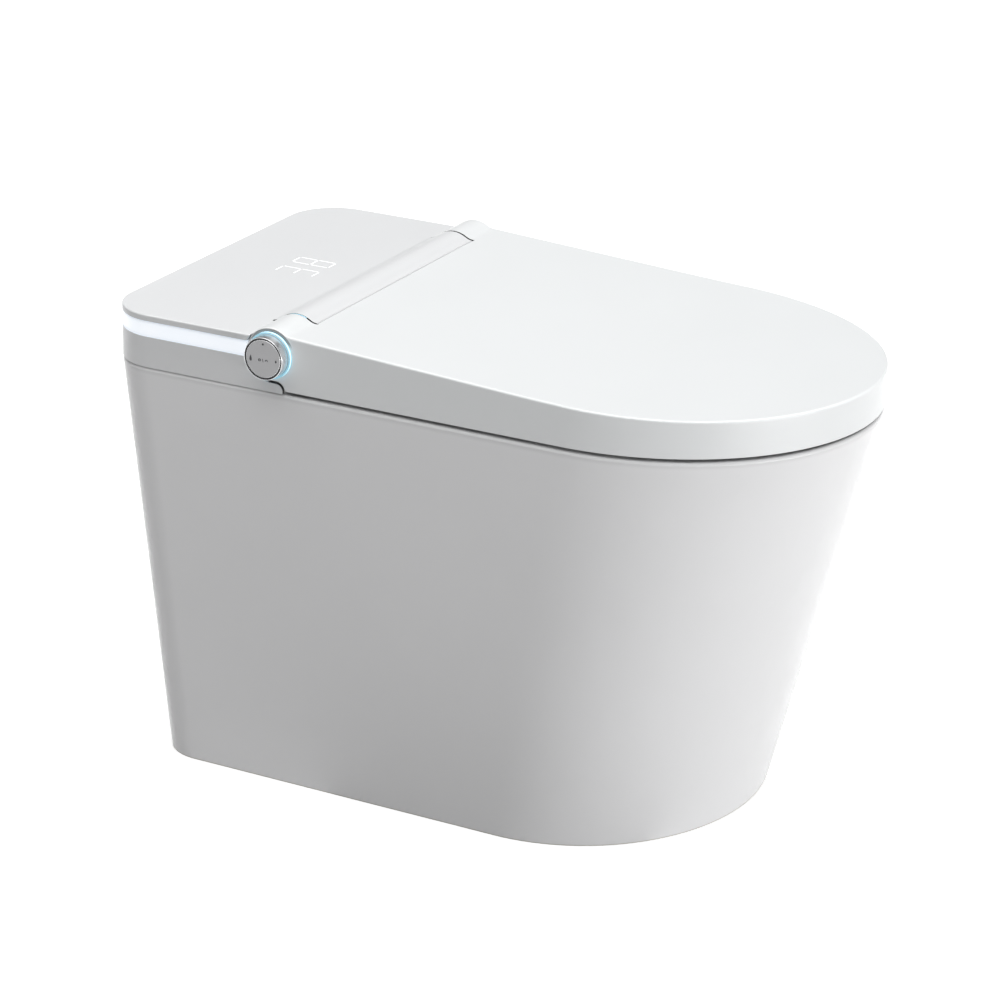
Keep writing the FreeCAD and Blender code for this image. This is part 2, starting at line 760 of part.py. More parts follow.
def valve_block():
    x0, x1 = VALVE_X - VALVE_W / 2, VALVE_X + VALVE_W / 2
    y0, y1 = VALVE_Y - VALVE_L / 2, VALVE_Y + VALVE_L / 2
    body = box(x0, x1, y0, y1, SHELF_TOP, SHELF_TOP + VALVE_H)
    body = body.fuse(rod(V(TANK_X1, VALVE_Y, INLET_Z), V(x0, VALVE_Y, INLET_Z), LINK_R))
    body = body.cut(rod(V(TANK_X1 - OVERRUN, VALVE_Y, INLET_Z), V(VALVE_X, VALVE_Y, INLET_Z),
                        LINK_BORE_R))
    socket = rod(V(INLET_X, y1 - INLET_SOCKET, INLET_Z), V(INLET_X, y1 + OVERRUN, INLET_Z),
                 INLET_SHANK_R + SEAT_FIT)
    feed = rod(V(INLET_X, VALVE_Y, INLET_Z), V(INLET_X, y1, INLET_Z), INLET_BORE_R)
    riser = upright(VALVE_X, VALVE_Y, INLET_Z, SHELF_TOP + VALVE_H + OVERRUN, HOSE_BORE_R)
    coil_z = SHELF_TOP + VALVE_H - VALVE_COIL_R
    coil = rod(V(VALVE_X, y0 - VALVE_COIL_L, coil_z), V(VALVE_X, y0, coil_z), VALVE_COIL_R)
    return body.fuse(coil).cut(socket).cut(feed).cut(riser)


def flush_pump():
    body = upright(PUMP_X, PUMP_Y, SHELF_TOP, SHELF_TOP + PUMP_H, PUMP_R)
    inlet = rod(V(TANK_X1, PUMP_Y, FLUSH_OUT_Z), V(PUMP_X, PUMP_Y, FLUSH_OUT_Z), LINK_R)
    outlet_y = PUMP_Y - PUMP_R - LINK_R
    outlet = rod(V(PUMP_X, outlet_y, FLUSH_OUT_Z), V(PUMP_X, PUMP_Y, FLUSH_OUT_Z), FLUSH_R)
    body = body.fuse([inlet, outlet])
    body = body.cut(rod(V(TANK_X1 - OVERRUN, PUMP_Y, FLUSH_OUT_Z), V(PUMP_X, PUMP_Y, FLUSH_OUT_Z),
                        LINK_BORE_R))
    return body.cut(rod(V(PUMP_X, outlet_y - OVERRUN, FLUSH_OUT_Z), V(PUMP_X, PUMP_Y, FLUSH_OUT_Z),
                        FLUSH_BORE_R))


def pump_motor():
    z0 = SHELF_TOP + PUMP_H
    body = upright(PUMP_X, PUMP_Y, z0, z0 + PUMP_MOTOR_H, PUMP_MOTOR_R)
    return body.makeFillet(PUMP_MOTOR_R / 4, level_edges(body, z0 + PUMP_MOTOR_H))


def flush_hose():
    outlet_y = PUMP_Y - PUMP_R - LINK_R
    path = tube_path([
        V(PUMP_X, outlet_y, FLUSH_OUT_Z), V(PUMP_X, FLUSH_RISE_Y, FLUSH_OUT_Z),
        V(PUMP_X, FLUSH_RISE_Y, FLUSH_Z), V(SPOUT_X, FLUSH_RISE_Y, FLUSH_Z),
        V(SPOUT_X, SPOUT_BACK_Y, FLUSH_Z)], FLUSH_BEND_R)
    return swept(path, FLUSH_R).cut(swept(path, FLUSH_BORE_R))


def rim_spout():
    back = bowl_back_y(SPOUT_X, RIM_H - FLUSH_Z)
    return pipe(V(SPOUT_X, back - SPOUT_REACH, FLUSH_Z), V(SPOUT_X, SPOUT_BACK_Y, FLUSH_Z),
                FLUSH_R - SPOUT_WALL, FLUSH_R)


def feed_hose():
    top = FLOOR_Z + FLANGE_GAP
    return pipe(V(VALVE_X, VALVE_Y, SHELF_TOP + VALVE_H), V(VALVE_X, VALVE_Y, top),
                HOSE_BORE_R, HOSE_R)


def inlet_fitting():
    inner = VALVE_Y + VALVE_L / 2 - INLET_SOCKET + SEAT_FIT
    step = spot_face_y(INLET_Z) + INLET_NUT_T
    outer = step + INLET_FREE_L
    body = rod(V(INLET_X, inner, INLET_Z), V(INLET_X, step, INLET_Z), INLET_SHANK_R)
    body = body.fuse(rod(V(INLET_X, step, INLET_Z), V(INLET_X, outer, INLET_Z), INLET_R))
    return body.cut(rod(V(INLET_X, inner - OVERRUN, INLET_Z), V(INLET_X, outer + OVERRUN, INLET_Z),
                        INLET_BORE_R))


def hexagon_y(x, z, y0, y1, across):
    corner = across / math.sqrt(3)
    points = []
    for step in range(6):
        angle = math.radians(60) * step
        points.append(V(x + corner * math.cos(angle), y0, z + corner * math.sin(angle)))
    return Part.Face(Part.makePolygon(points + points[:1])).extrude(V(0, y1 - y0, 0))


def inlet_lock_nut():
    y0 = spot_face_y(INLET_Z)
    body = hexagon_y(INLET_X, INLET_Z, y0, y0 + INLET_NUT_T, INLET_NUT_ACROSS)
    return body.cut(rod(V(INLET_X, y0 - OVERRUN, INLET_Z), V(INLET_X, REAR_Y, INLET_Z),
                        INLET_SHANK_R + RUNNING_GAP))


def power_gland():
    y0 = spot_face_y(INLET_Z)
    tip = y0 + GLAND_FLANGE_T + GLAND_NOSE_L
    tail = V(-INLET_X, y0 - GLAND_TAIL_L, INLET_Z)
    body = rod(tail, V(-INLET_X, tip, INLET_Z), GLAND_R)
    body = body.fuse(rod(V(-INLET_X, y0, INLET_Z), V(-INLET_X, y0 + GLAND_FLANGE_T, INLET_Z),
                         GLAND_FLANGE_R))
    return body.cut(rod(tail - V(0, OVERRUN, 0), V(-INLET_X, tip + OVERRUN, INLET_Z), GLAND_BORE_R))


# Lines of the lid and of the ridge over the hinge

def hinge_blend(slope, rise, barrel, fillet, side):
    """Fillet from a flat that passes rise above the hinge axis on to the hinge barrel.

    Returns its point on the flat, its middle and its point on the barrel. The side is
    -1 in front of the barrel and 1 behind it.
    """
    axis = yz(HINGE_Y, HINGE_Z)
    along = yz(math.cos(slope), math.sin(slope))
    out = yz(-math.sin(slope), math.cos(slope))
    run = side * math.sqrt((barrel + fillet) ** 2 - (fillet + rise) ** 2)
    centre = axis + along * run + out * (fillet + rise)
    on_flat = centre - out * fillet
    on_barrel = axis + (centre - axis) * (barrel / (barrel + fillet))
    middle = centre + (on_flat + on_barrel - centre * 2).normalize() * fillet
    return on_flat, middle, on_barrel


def lid_pitch():
    """Slope of the lid's top plane, which leaves the crown and passes over the hinge axis."""
    run = HINGE_Y - FRONT_Y - LID_CROWN_L
    slope = 0
    for step in range(PITCH_ROUNDS):
        level = math.cos(slope)
        climb = LID_TOP_RISE - (LID_FRONT_Z - HINGE_Z) * level
        slope = math.asin(climb / (run + LID_CROWN_L * level / (1 + level)))
    return slope


def crown_radius():
    return LID_CROWN_L / math.sin(lid_pitch())


def front_blend(inset):
    return hinge_blend(lid_pitch(), LID_TOP_RISE - inset, BARREL_R - inset,
                       RIDGE_FRONT_FILLET + inset, -1)


def rear_blend(inset):
    return hinge_blend(0, COVER_TOP - HINGE_Z - inset, BARREL_R - inset,
                       RIDGE_REAR_FILLET + inset, 1)


def crease_radius():
    return (front_blend(0)[0] - yz(HINGE_Y, HINGE_Z)).Length


def around_hinge(radius, angle):
    """Point on a circle about the hinge: angle 0 is to the rear and a quarter turn is up."""
    return yz(HINGE_Y + radius * math.cos(angle), HINGE_Z + radius * math.sin(angle))


def hinge_arc(radius, first, last):
    middle = around_hinge(radius, (first + last) / 2)
    return arc(around_hinge(radius, first), middle, around_hinge(radius, last))


def angle_of(point):
    return math.atan2(point.z - HINGE_Z, point.y - HINGE_Y)


def lid_crown(inset):
    """Edges of the lid's top line, from its front end to the barrel, lowered by inset."""
    radius = crown_radius() + inset
    centre = yz(FRONT_Y, LID_FRONT_Z + crown_radius())

    def on_crown(angle):
        return centre + yz(math.sin(angle), -math.cos(angle)) * radius
    flat, middle, barrel = front_blend(inset)
    pitch = lid_pitch()
    front = on_crown(0)
    return [
        line(front - yz(OVERRUN, 0), front),
        arc(front, on_crown(pitch / 2), on_crown(pitch)),
        line(on_crown(pitch), flat),
        arc(flat, middle, barrel),
        hinge_arc(BARREL_R - inset, angle_of(barrel), 0),
    ]


def lid_side():
    """Side outline of the lid, with the notch over the housing's tab."""
    edges = lid_crown(0)
    start = edges[0].Vertexes[0].Point
    corner = yz(TAB_Y + TAB_R, TAB_TOP - TAB_R)
    radius = TAB_R + KNUCKLE_GAP
    low = math.asin((LID_Z0 - corner.z) / radius)

    def on_notch(angle):
        return corner + yz(-math.cos(angle), math.sin(angle)) * radius
    notch_top = on_notch(math.pi / 2)
    under = around_hinge(BARREL_R, -math.pi / 2)
    bottom = yz(start.y, LID_Z0)
    return edges + [
        hinge_arc(BARREL_R, 0, -math.pi / 2),
        line(under, notch_top),
        arc(notch_top, on_notch((low + math.pi / 2) / 2), on_notch(low)),
        line(on_notch(low), bottom),
        line(bottom, start),
    ]


def lid_hollow():
    edges = lid_crown(LID_WALL)
    start = edges[0].Vertexes[0].Point
    end = around_hinge(BARREL_R - LID_WALL, 0)
    low = LID_Z0 - OVERRUN
    edges += [line(end, yz(end.y, low)), line(yz(end.y, low), yz(start.y, low)),
              line(yz(start.y, low), start)]
    side = prism_x(edges, -HALF_W, HALF_W)
    return side.common(lid_outline(LID_WALL, RIDGE_REAR_Y, LID_Z0 - OVERRUN, RIDGE_TOP))


# Lid

def lid():
    wide = HALF_W + OVERRUN
    block = lid_outline(0, RIDGE_REAR_Y + OVERRUN, LID_Z0 - OVERRUN, RIDGE_TOP + OVERRUN)
    body = block.common(prism_x(lid_side(), -wide, wide))
    edge = [e for e in body.Edges if e.BoundBox.XLength < SLIGHT
            and e.BoundBox.YLength > BARREL_R * 2 and e.BoundBox.ZMin > LID_Z0 + LID_WALL]
    body = body.makeFillet(LID_EDGE_R, edge)
    body = body.cut(lid_hollow())
    body = body.cut(box(-LID_INNER_X, LID_INNER_X, HINGE_Y, RIDGE_REAR_Y + OVERRUN,
                        LID_Z0 - OVERRUN, HINGE_Z + KNUCKLE_LIP))
    body = body.cut(hinge_rod(-CENTRE_HALF_W - LID_END_GAP, CENTRE_HALF_W + LID_END_GAP,
                              crease_radius() + LID_REAR_GAP))
    body = body.fuse(both_sides(hinge_rod(-LID_INNER_X, -LID_INNER_X + LID_HUB_L, LID_HUB_R)))
    wall_end = -HALF_W - OVERRUN
    hub_end = LID_INNER_X - LID_HUB_L - OVERRUN
    body = body.cut(hinge_rod(wall_end, -hub_end, TUBE_R + HOLE_FIT))
    body = body.cut(hinge_rod(-LID_INNER_X, -hub_end, TUBE_R + BUSH_T + RUNNING_GAP))
    body = body.cut(hinge_rod(hub_end, HALF_W, SHAFT_R + RUNNING_GAP))
    return body.cut(hinge_rod(HALF_W - CAP_T, HALF_W + OVERRUN, CAP_R + RUNNING_GAP))


def lid_bush():
    return hinge_pipe(-LID_INNER_X, -LID_INNER_X + LID_HUB_L, TUBE_R + RUNNING_GAP,
                      TUBE_R + BUSH_T)


def lid_shaft():
    return hinge_rod(INNER_POST_X + INNER_POST_T + SEAT_FIT, HALF_W - CAP_T, SHAFT_R)


def hinge_cap():
    return hinge_rod(HALF_W - CAP_T, HALF_W, CAP_R)


def lid_buffers():
    under = lid_hollow()
    pads = []
    for across, along in LID_PAD_SHARES:
        x = across * (HALF_W - SEAT_INSET)
        y = SEAT_FRONT_Y + along * SEAT_L
        pad = box(x - LID_PAD_W / 2, x + LID_PAD_W / 2, y - LID_PAD_L / 2, y + LID_PAD_L / 2,
                  SEAT_TOP_Z + SEAT_FIT, RIDGE_TOP)
        pads += [pad.common(under), mirrored(pad).common(under)]
    return Part.makeCompound(pads)


# Seat

def seat_ring(outer, inner, z0, z1):
    """Ring of the seat with its edges drawn in by outer and its hole widened by inner."""
    body = lid_outline(SEAT_INSET + outer, SEAT_REAR_Y - outer, z0, z1)
    corners = [e for e in upright_edges(body) if e.BoundBox.YMin > SEAT_REAR_Y - outer - OVERRUN]
    body = body.makeFillet(SEAT_CORNER_R - outer, corners)
    hole = Part.Face(oval_wire(SEAT_HOLE_HALF_W + inner, SEAT_HOLE_HALF_L + inner,
                               SEAT_HOLE_Y, z0 - OVERRUN))
    return body.cut(hole.extrude(V(0, 0, z1 - z0 + 2 * OVERRUN)))


def seat_top():
    body = seat_ring(0, 0, SEAT_SPLIT_Z, SEAT_TOP_Z)
    rim = level_edges(body, SEAT_TOP_Z)
    inner = [e for e in rim if abs(e.CenterOfMass.x) < SEAT_HOLE_HALF_W
             and abs(e.CenterOfMass.y - SEAT_HOLE_Y) < SEAT_HOLE_HALF_L
             and abs(e.BoundBox.XLength - SEAT_HOLE_HALF_W) < OVERRUN]
    outer = [e for e in rim if not any(e.isSame(other) for other in inner)]
    body = body.makeFillet(SEAT_INNER_R, inner)
    outer = [e for e in level_edges(body, SEAT_TOP_Z)
             if any((e.CenterOfMass - o.CenterOfMass).Length < SLIGHT for o in outer)]
    body = body.makeFillet(SEAT_OUTER_R, outer)
    wall = SEAT_SHELL + SEAT_OUTER_R * SEAT_EDGE_SHARE
    return body.cut(seat_ring(wall, wall, SEAT_SPLIT_Z - OVERRUN, SEAT_TOP_Z - SEAT_SHELL))


def seat_heater():
    wall = SEAT_SHELL + SEAT_OUTER_R * SEAT_EDGE_SHARE + SEAT_FIT
    top = SEAT_TOP_Z - SEAT_SHELL
    return seat_ring(wall, wall, top - SEAT_HEATER_T, top)


def seat_base():
    body = seat_ring(0, 0, SEAT_Z0, SEAT_SPLIT_Z)
    arm_in = KNUCKLE_X + SEAT_ARM_IN
    arm_out = LID_INNER_X - LID_HUB_L - SEAT_ARM_OUT_GAP
    arm = box(arm_in, arm_out, SEAT_REAR_Y + SEAT_FIT, HINGE_Y, SEAT_Z0, SEAT_Z0 + SEAT_ARM_H)
    tongue = box(arm_in, arm_out, SEAT_REAR_Y - SEAT_CORNER_R, HINGE_Y, SEAT_Z0, SEAT_SPLIT_Z)
    knuckle = hinge_rod(arm_in, arm_out, SEAT_BARREL_R)
    body = body.fuse([both_sides(arm), both_sides(tongue), both_sides(knuckle)])
    body = body.cut(hinge_rod(-arm_out - OVERRUN, -arm_in + OVERRUN, TUBE_R + SLEEVE_T + RUNNING_GAP))
    return body.cut(hinge_rod(arm_in - OVERRUN, arm_out + OVERRUN, SHAFT_R + BUSH_T + RUNNING_GAP))


def seat_bushes():
    arm_in = KNUCKLE_X + SEAT_ARM_IN
    arm_out = LID_INNER_X - LID_HUB_L - SEAT_ARM_OUT_GAP
    middle = (arm_in + arm_out) / 2
    near = hinge_pipe(-arm_out, -middle - SEAT_FIT, TUBE_R + RUNNING_GAP, TUBE_R + BUSH_T)
    far = hinge_pipe(arm_in, arm_out, SHAFT_R + RUNNING_GAP, SHAFT_R + BUSH_T)
    return Part.makeCompound([near, far])


def damper_sleeve():
    arm_in = KNUCKLE_X + SEAT_ARM_IN
    arm_out = LID_INNER_X - LID_HUB_L - SEAT_ARM_OUT_GAP
    end = -INNER_POST_X - INNER_POST_T - HOLE_FIT
    return hinge_pipe(-(arm_in + arm_out) / 2, end, TUBE_R + RUNNING_GAP, TUBE_R + SLEEVE_T)


def seat_buffers():
    pads = []
    for along in SEAT_PAD_SHARES:
        y = SEAT_FRONT_Y + along * SEAT_L
        bow = max(0, (BOW_Y - y) / (BOW_Y - FRONT_Y))
        x = HALF_W * math.sqrt(1 - bow ** 2) - SEAT_INSET - SEAT_PAD_INSET
        pads.append(box(x - SEAT_PAD_W / 2, x + SEAT_PAD_W / 2, y - SEAT_PAD_L / 2, y + SEAT_PAD_L / 2,
                        RIM_H + SEAT_FIT, SEAT_Z0))
    return Part.makeCompound(pads + [mirrored(pad) for pad in pads])


# Hinge pieces that stay with the housing

def hinge_tube():
    end = -HALF_W - KNOB_GAP
    return hinge_pipe(end, -INNER_POST_X, TUBE_BORE_R, TUBE_R)


def seat_damper():
    return hinge_pipe(-POST_X, -INNER_POST_X - INNER_POST_T, TUBE_R + SLEEVE_T + RUNNING_GAP,
                      DAMPER_R)


def lid_damper():
    return hinge_pipe(INNER_POST_X + INNER_POST_T, POST_X, SHAFT_R + RUNNING_GAP, DAMPER_R)


# Seat unit housing

def hinge_post(x0, x1, radius, foot):
    """Upright plate that carries the hinge line, standing on the housing floor."""
    top = HINGE_Z
    plate = polygon_x([yz(HINGE_Y - foot / 2, FLOOR_Z), yz(HINGE_Y + foot / 2, FLOOR_Z),
                       yz(HINGE_Y + radius, top), yz(HINGE_Y - radius, top)], x0, x1)
    return plate.fuse(hinge_rod(x0, x1, radius))


def housing_side():
    """Side outline of the housing skirt: the tab under the knob, the knuckle's hollow, the rear."""
    corner = yz(TAB_Y + TAB_R, TAB_TOP - TAB_R)
    diagonal = yz(-TAB_R, TAB_R) * math.sqrt(0.5)
    high = math.asin((SKIRT_TOP - HINGE_Z) / CLEAR_R)
    back = REAR_Y + OVERRUN
    skirt_end = around_hinge(CLEAR_R, high)
    tab_low = yz(TAB_Y, SKIRT_Z0)
    tab_side = yz(TAB_Y, TAB_TOP - TAB_R)
    tab_roof = yz(TAB_Y + TAB_R, TAB_TOP)
    return [
        line(tab_low, tab_side),
        arc(tab_side, corner + diagonal, tab_roof),
        line(tab_roof, yz(HINGE_Y, TAB_TOP)),
        hinge_arc(CLEAR_R, -math.pi / 2, high),
        line(skirt_end, yz(back, SKIRT_TOP)),
        line(yz(back, SKIRT_TOP), yz(back, SKIRT_Z0)),
        line(yz(back, SKIRT_Z0), tab_low),
    ]


def behind(y):
    """Everything behind a plane across the housing."""
    return box(-HALF_W - OVERRUN, HALF_W + OVERRUN, y, REAR_Y + OVERRUN, 0, RIDGE_TOP + OVERRUN)


def band_ring(inset, thickness, z0, z1):
    """Strip round the sides and rear of the housing, ending at the knuckles."""
    ring = top_outline(inset, z0, z1).cut(top_outline(inset + thickness, z0 - OVERRUN, z1 + OVERRUN))
    ring = ring.common(behind(HINGE_Y))
    return ring.cut(hinge_rod(-HALF_W - OVERRUN, HALF_W + OVERRUN, CLEAR_R))


def chassis():
    wide = HALF_W + OVERRUN
    body = prism_x(housing_side(), -wide, wide).common(top_outline(0, SKIRT_Z0, SKIRT_TOP))
    body = body.cut(top_outline(SKIRT_WALL, FLOOR_Z, COVER_TOP))
    front_floor = box(-CENTRE_HALF_W, CENTRE_HALF_W, FRONT_WALL_Y, TAB_Y + OVERRUN, SKIRT_Z0, FLOOR_Z)
    front_wall = box(-CENTRE_HALF_W, CENTRE_HALF_W, FRONT_WALL_Y, FRONT_WALL_Y + FRONT_WALL_T,
                     SKIRT_Z0, SKIRT_Z0 + FRONT_WALL_H)
    post = hinge_post(-CENTRE_HALF_W, -POST_X, POST_R, POST_FOOT)
    inner_post = hinge_post(-INNER_POST_X - INNER_POST_T, -INNER_POST_X, INNER_POST_R,
                            2 * INNER_POST_R)
    wall_top = COVER_UNDER - SEAT_FIT
    knuckle_wall = box(-HALF_W + SKIRT_WALL / 2, -POST_X, KNUCKLE_WALL_Y,
                       KNUCKLE_WALL_Y + KNUCKLE_WALL_T, SKIRT_Z0, wall_top)
    knuckle_wall = knuckle_wall.common(top_outline(RAIL_INSET, SKIRT_Z0, wall_top))
    rail = band_ring(RAIL_INSET, RAIL_T, SKIRT_Z0, BAND_TOP).common(behind(KNUCKLE_WALL_Y))
    bosses = [upright(x, y, FLOOR_Z, FLOOR_Z + BOSS_H, BOSS_R) for x, y in screw_places()]
    body = body.fuse([front_floor, front_wall, both_sides(post), both_sides(inner_post),
                      both_sides(knuckle_wall), rail] + bosses)
    mouth_top = SKIRT_Z0 + MOUTH_H
    guide = GUIDE_HALF_W + HOLE_FIT
    below = SKIRT_Z0 - OVERRUN
    cuts = [
        box(-MOUTH_HALF_W, MOUTH_HALF_W, FRONT_WALL_Y - OVERRUN, FRONT_WALL_Y + FRONT_WALL_T + OVERRUN,
            below, mouth_top),
        box(-MOUTH_HALF_W, MOUTH_HALF_W, FRONT_WALL_Y, MOUTH_BACK_Y, below, FLOOR_Z + OVERRUN),
        box(-guide, guide, MOUTH_BACK_Y - OVERRUN, FLANGE_Y + FLANGE_L + 2 * FLANGE_T, below,
            FLOOR_Z + OVERRUN),
        hinge_rod(-CENTRE_HALF_W - OVERRUN, -POST_X + OVERRUN, TUBE_R + SLEEVE_T + HOLE_FIT),
        hinge_rod(-INNER_POST_X - INNER_POST_T - OVERRUN, -INNER_POST_X + OVERRUN, TUBE_R + RUNNING_GAP),
        hinge_rod(POST_X - OVERRUN, CENTRE_HALF_W + OVERRUN, SHAFT_R + RUNNING_GAP),
        upright(VALVE_X, VALVE_Y, below, FLOOR_Z + OVERRUN, HOSE_R + SEAT_FIT),
        upright(BOLT_X, BOLT_Y, below, FLOOR_Z + OVERRUN, BOLT_R + HOLE_FIT),
        upright(-BOLT_X, BOLT_Y, below, FLOOR_Z + OVERRUN, BOLT_R + HOLE_FIT),
    ]
    cuts += [upright(x, y, below, FLOOR_Z + BOSS_H + OVERRUN, SCREW_R + SEAT_FIT)
             for x, y in screw_places()]
    for cut in cuts:
        body = body.cut(cut)
    return body


def screw_places():
    return [(x, y) for x in (-SCREW_X, SCREW_X) for y in (SCREW_FRONT_Y, SCREW_REAR_Y)]


def ridge_profile(inset):
    """Top line of the cover from the rear over the ridge to the crease in front."""
    flat, middle, on_rear = rear_blend(inset)
    crease, bend, on_front = front_blend(inset)
    start = yz(REAR_Y + OVERRUN, COVER_TOP - inset)
    return [
        line(start, flat),
        arc(flat, middle, on_rear),
        hinge_arc(BARREL_R - inset, angle_of(on_rear), angle_of(on_front)),
        arc(on_front, bend, crease),
    ]


def cover_centre(inset, low):
    """Part of the cover between the knuckles, with its nose in front of the hinge."""
    edges = ridge_profile(inset)
    start = edges[0].Vertexes[0].Point
    crease = front_blend(inset)[0]
    radius = (crease - yz(HINGE_Y, HINGE_Z)).Length
    lip_angle = math.pi + COVER_LIP_ANGLE
    lip = around_hinge(radius, lip_angle)
    edges.append(hinge_arc(radius, angle_of(crease), lip_angle))
    return edges + [line(lip, yz(lip.y, low)), line(yz(lip.y, low), yz(start.y, low)),
                    line(yz(start.y, low), start)]


def segment_bars(spread):
    """Lit bars of the two digits, each grown by spread, as upright boxes through the cover."""
    bars = []
    half_w, half_h = DIGIT_W / 2 - STROKE / 2, DIGIT_H / 2 - STROKE / 2
    thick = STROKE / 2 + spread
    long_x = half_w - STROKE / 2 - STROKE_GAP + spread
    long_y = half_h / 2 - STROKE / 2 - STROKE_GAP + spread
    places = [
        (0, half_h, long_x, thick),
        (-half_w, half_h / 2, thick, long_y),
        (half_w, half_h / 2, thick, long_y),
        (0, 0, long_x, thick),
        (-half_w, -half_h / 2, thick, long_y),
        (half_w, -half_h / 2, thick, long_y),
        (0, -half_h, long_x, thick),
    ]
    for centre, lit in ((DIGIT_X - DIGIT_PITCH / 2, THREE), (DIGIT_X + DIGIT_PITCH / 2, EIGHT)):
        for (x, y, half_x, half_y), on in zip(places, lit):
            if on:
                bars.append(box(centre + x - half_x, centre + x + half_x, DIGIT_Y + y - half_y,
                                DIGIT_Y + y + half_y, COVER_UNDER - BOARD_GAP, COVER_TOP))
    return bars


def top_cover():
    wide = HALF_W + OVERRUN
    low = FLOOR_Z
    lip_z = around_hinge(crease_radius(), math.pi + COVER_LIP_ANGLE).z
    centre = prism_x(cover_centre(0, low), -CENTRE_HALF_W, CENTRE_HALF_W)
    plate = box(-wide, wide, HINGE_Y, REAR_Y + OVERRUN, BAND_TOP, COVER_TOP)
    plate = plate.cut(hinge_rod(-wide, -CENTRE_HALF_W, CLEAR_R))
    plate = plate.cut(hinge_rod(CENTRE_HALF_W, wide, CLEAR_R))
    rear_trim = box(-wide, wide, KNUCKLE_WALL_Y, REAR_Y + 2 * OVERRUN, low - OVERRUN, BAND_TOP)
    lip_trim = box(-wide, wide, 0, REAR_Y, low - OVERRUN, lip_z)
    body = centre.cut(rear_trim).cut(lip_trim).fuse(plate)
    body = body.common(top_outline(0, low, RIDGE_TOP + OVERRUN))
    rim = [e for e in level_edges(body, COVER_TOP)
           if e.BoundBox.YMax > KNUCKLE_WALL_Y + REAR_CORNER_R]
    body = body.makeFillet(COVER_EDGE_R, rim)
    room = prism_x(cover_centre(COVER_T, low - OVERRUN), -wide, wide)
    side_room = box(-wide, wide, HINGE_Y, REAR_Y, low, COVER_UNDER)
    inner = top_outline(COVER_T, low - OVERRUN, RIDGE_TOP)
    body = body.cut(room.common(inner)).cut(side_room.common(inner))
    bosses = [upright(x, y, FLOOR_Z + BOSS_H + SEAT_FIT, COVER_UNDER + COVER_T / 2, BOSS_R)
              for x, y in screw_places()]
    body = body.fuse(bosses)
    for x, y in screw_places():
        z0 = FLOOR_Z + BOSS_H
        body = body.cut(upright(x, y, z0, z0 + SCREW_BITE + SEAT_FIT, SCREW_R + RUNNING_GAP))
    return body.cut(Part.makeCompound(segment_bars(SLOT_FIT)))


def light_band():
    return band_ring(BAND_INSET, BAND_T, SKIRT_TOP, BAND_TOP - BAND_FIT)


def led_strip():
    middle = (SKIRT_TOP + BAND_TOP) / 2
    ring = band_ring(BAND_INSET + BAND_T + LED_GAP, LED_T, middle - LED_H / 2, middle + LED_H / 2)
    return ring.common(behind(KNUCKLE_WALL_Y))


def display_board():
    half_x = DIGIT_PITCH / 2 + DIGIT_W / 2 + BOARD_MARGIN
    half_y = DIGIT_H / 2 + BOARD_MARGIN
    top = COVER_UNDER - BOARD_GAP
    return box(DIGIT_X - half_x, DIGIT_X + half_x, DIGIT_Y - half_y, DIGIT_Y + half_y,
               top - BOARD_T, top)


def display_segments():
    return Part.makeCompound(segment_bars(0))


def cover_screws():
    screws = []
    for x, y in screw_places():
        shank = upright(x, y, SKIRT_Z0, FLOOR_Z + BOSS_H + SCREW_BITE, SCREW_R)
        screws.append(shank.fuse(upright(x, y, SKIRT_Z0 - SCREW_HEAD_H, SKIRT_Z0, SCREW_HEAD_R)))
    return Part.makeCompound(screws)


def mounting_bolts():
    end = RIM_H - DECK_T - NUT_H - BOLT_TAIL
    bolt = upright(BOLT_X, BOLT_Y, end, FLOOR_Z, BOLT_R)
    return pair(bolt.fuse(upright(BOLT_X, BOLT_Y, FLOOR_Z, FLOOR_Z + BOLT_HEAD_H, BOLT_HEAD_R)))


def mounting_nuts():
    top = RIM_H - DECK_T
    nut = upright(BOLT_X, BOLT_Y, top - NUT_H, top, BOLT_HEAD_R)
    hole = upright(BOLT_X, BOLT_Y, top - NUT_H - OVERRUN, top + OVERRUN, BOLT_R + RUNNING_GAP)
    return pair(nut.cut(hole))


# Knob on the near end of the hinge line

def knob_base():
    back = -HALF_W - KNOB_GAP
    front = back - KNOB_BASE_T
    body = hinge_rod(front, back, KNOB_BASE_R)
    body = body.fuse(hinge_rod(front - SPINDLE_L, front, SPINDLE_R))
    body = body.fuse(hinge_rod(back, back + SOCKET_SLEEVE_L, TUBE_BORE_R - RUNNING_GAP))
    return body.cut(hinge_rod(front - SPINDLE_L - OVERRUN, back + SOCKET_SLEEVE_L + OVERRUN,
                              STEM_R + STEM_GAP))


def knob_light_ring():
    back = -HALF_W - KNOB_GAP
    return hinge_pipe(back - GLOW_RING_L, back, KNOB_BASE_R + RUNNING_GAP, KNOB_BASE_R + GLOW_RING_T)


def knob_ring():
    base = -HALF_W - KNOB_GAP - KNOB_BASE_T
    back = base - KNOB_RING_LIFT
    body = hinge_rod(back - KNOB_RING_L, back, KNOB_RING_R)
    lip = [e for e in body.Edges if e.BoundBox.XMax < back - KNOB_RING_L / 2]
    body = body.makeFillet(KNOB_RING_EDGE_R, lip)
    bore = KNOB_RING_R - KNOB_RING_WALL
    web = base - KNOB_WEB_LIFT
    body = body.cut(hinge_rod(back - KNOB_RING_L - OVERRUN, web - KNOB_WEB_T, bore))
    body = body.cut(hinge_rod(web, base + OVERRUN, bore))
    return body.cut(hinge_rod(back - KNOB_RING_L, back + OVERRUN, SPINDLE_R + RUNNING_GAP))


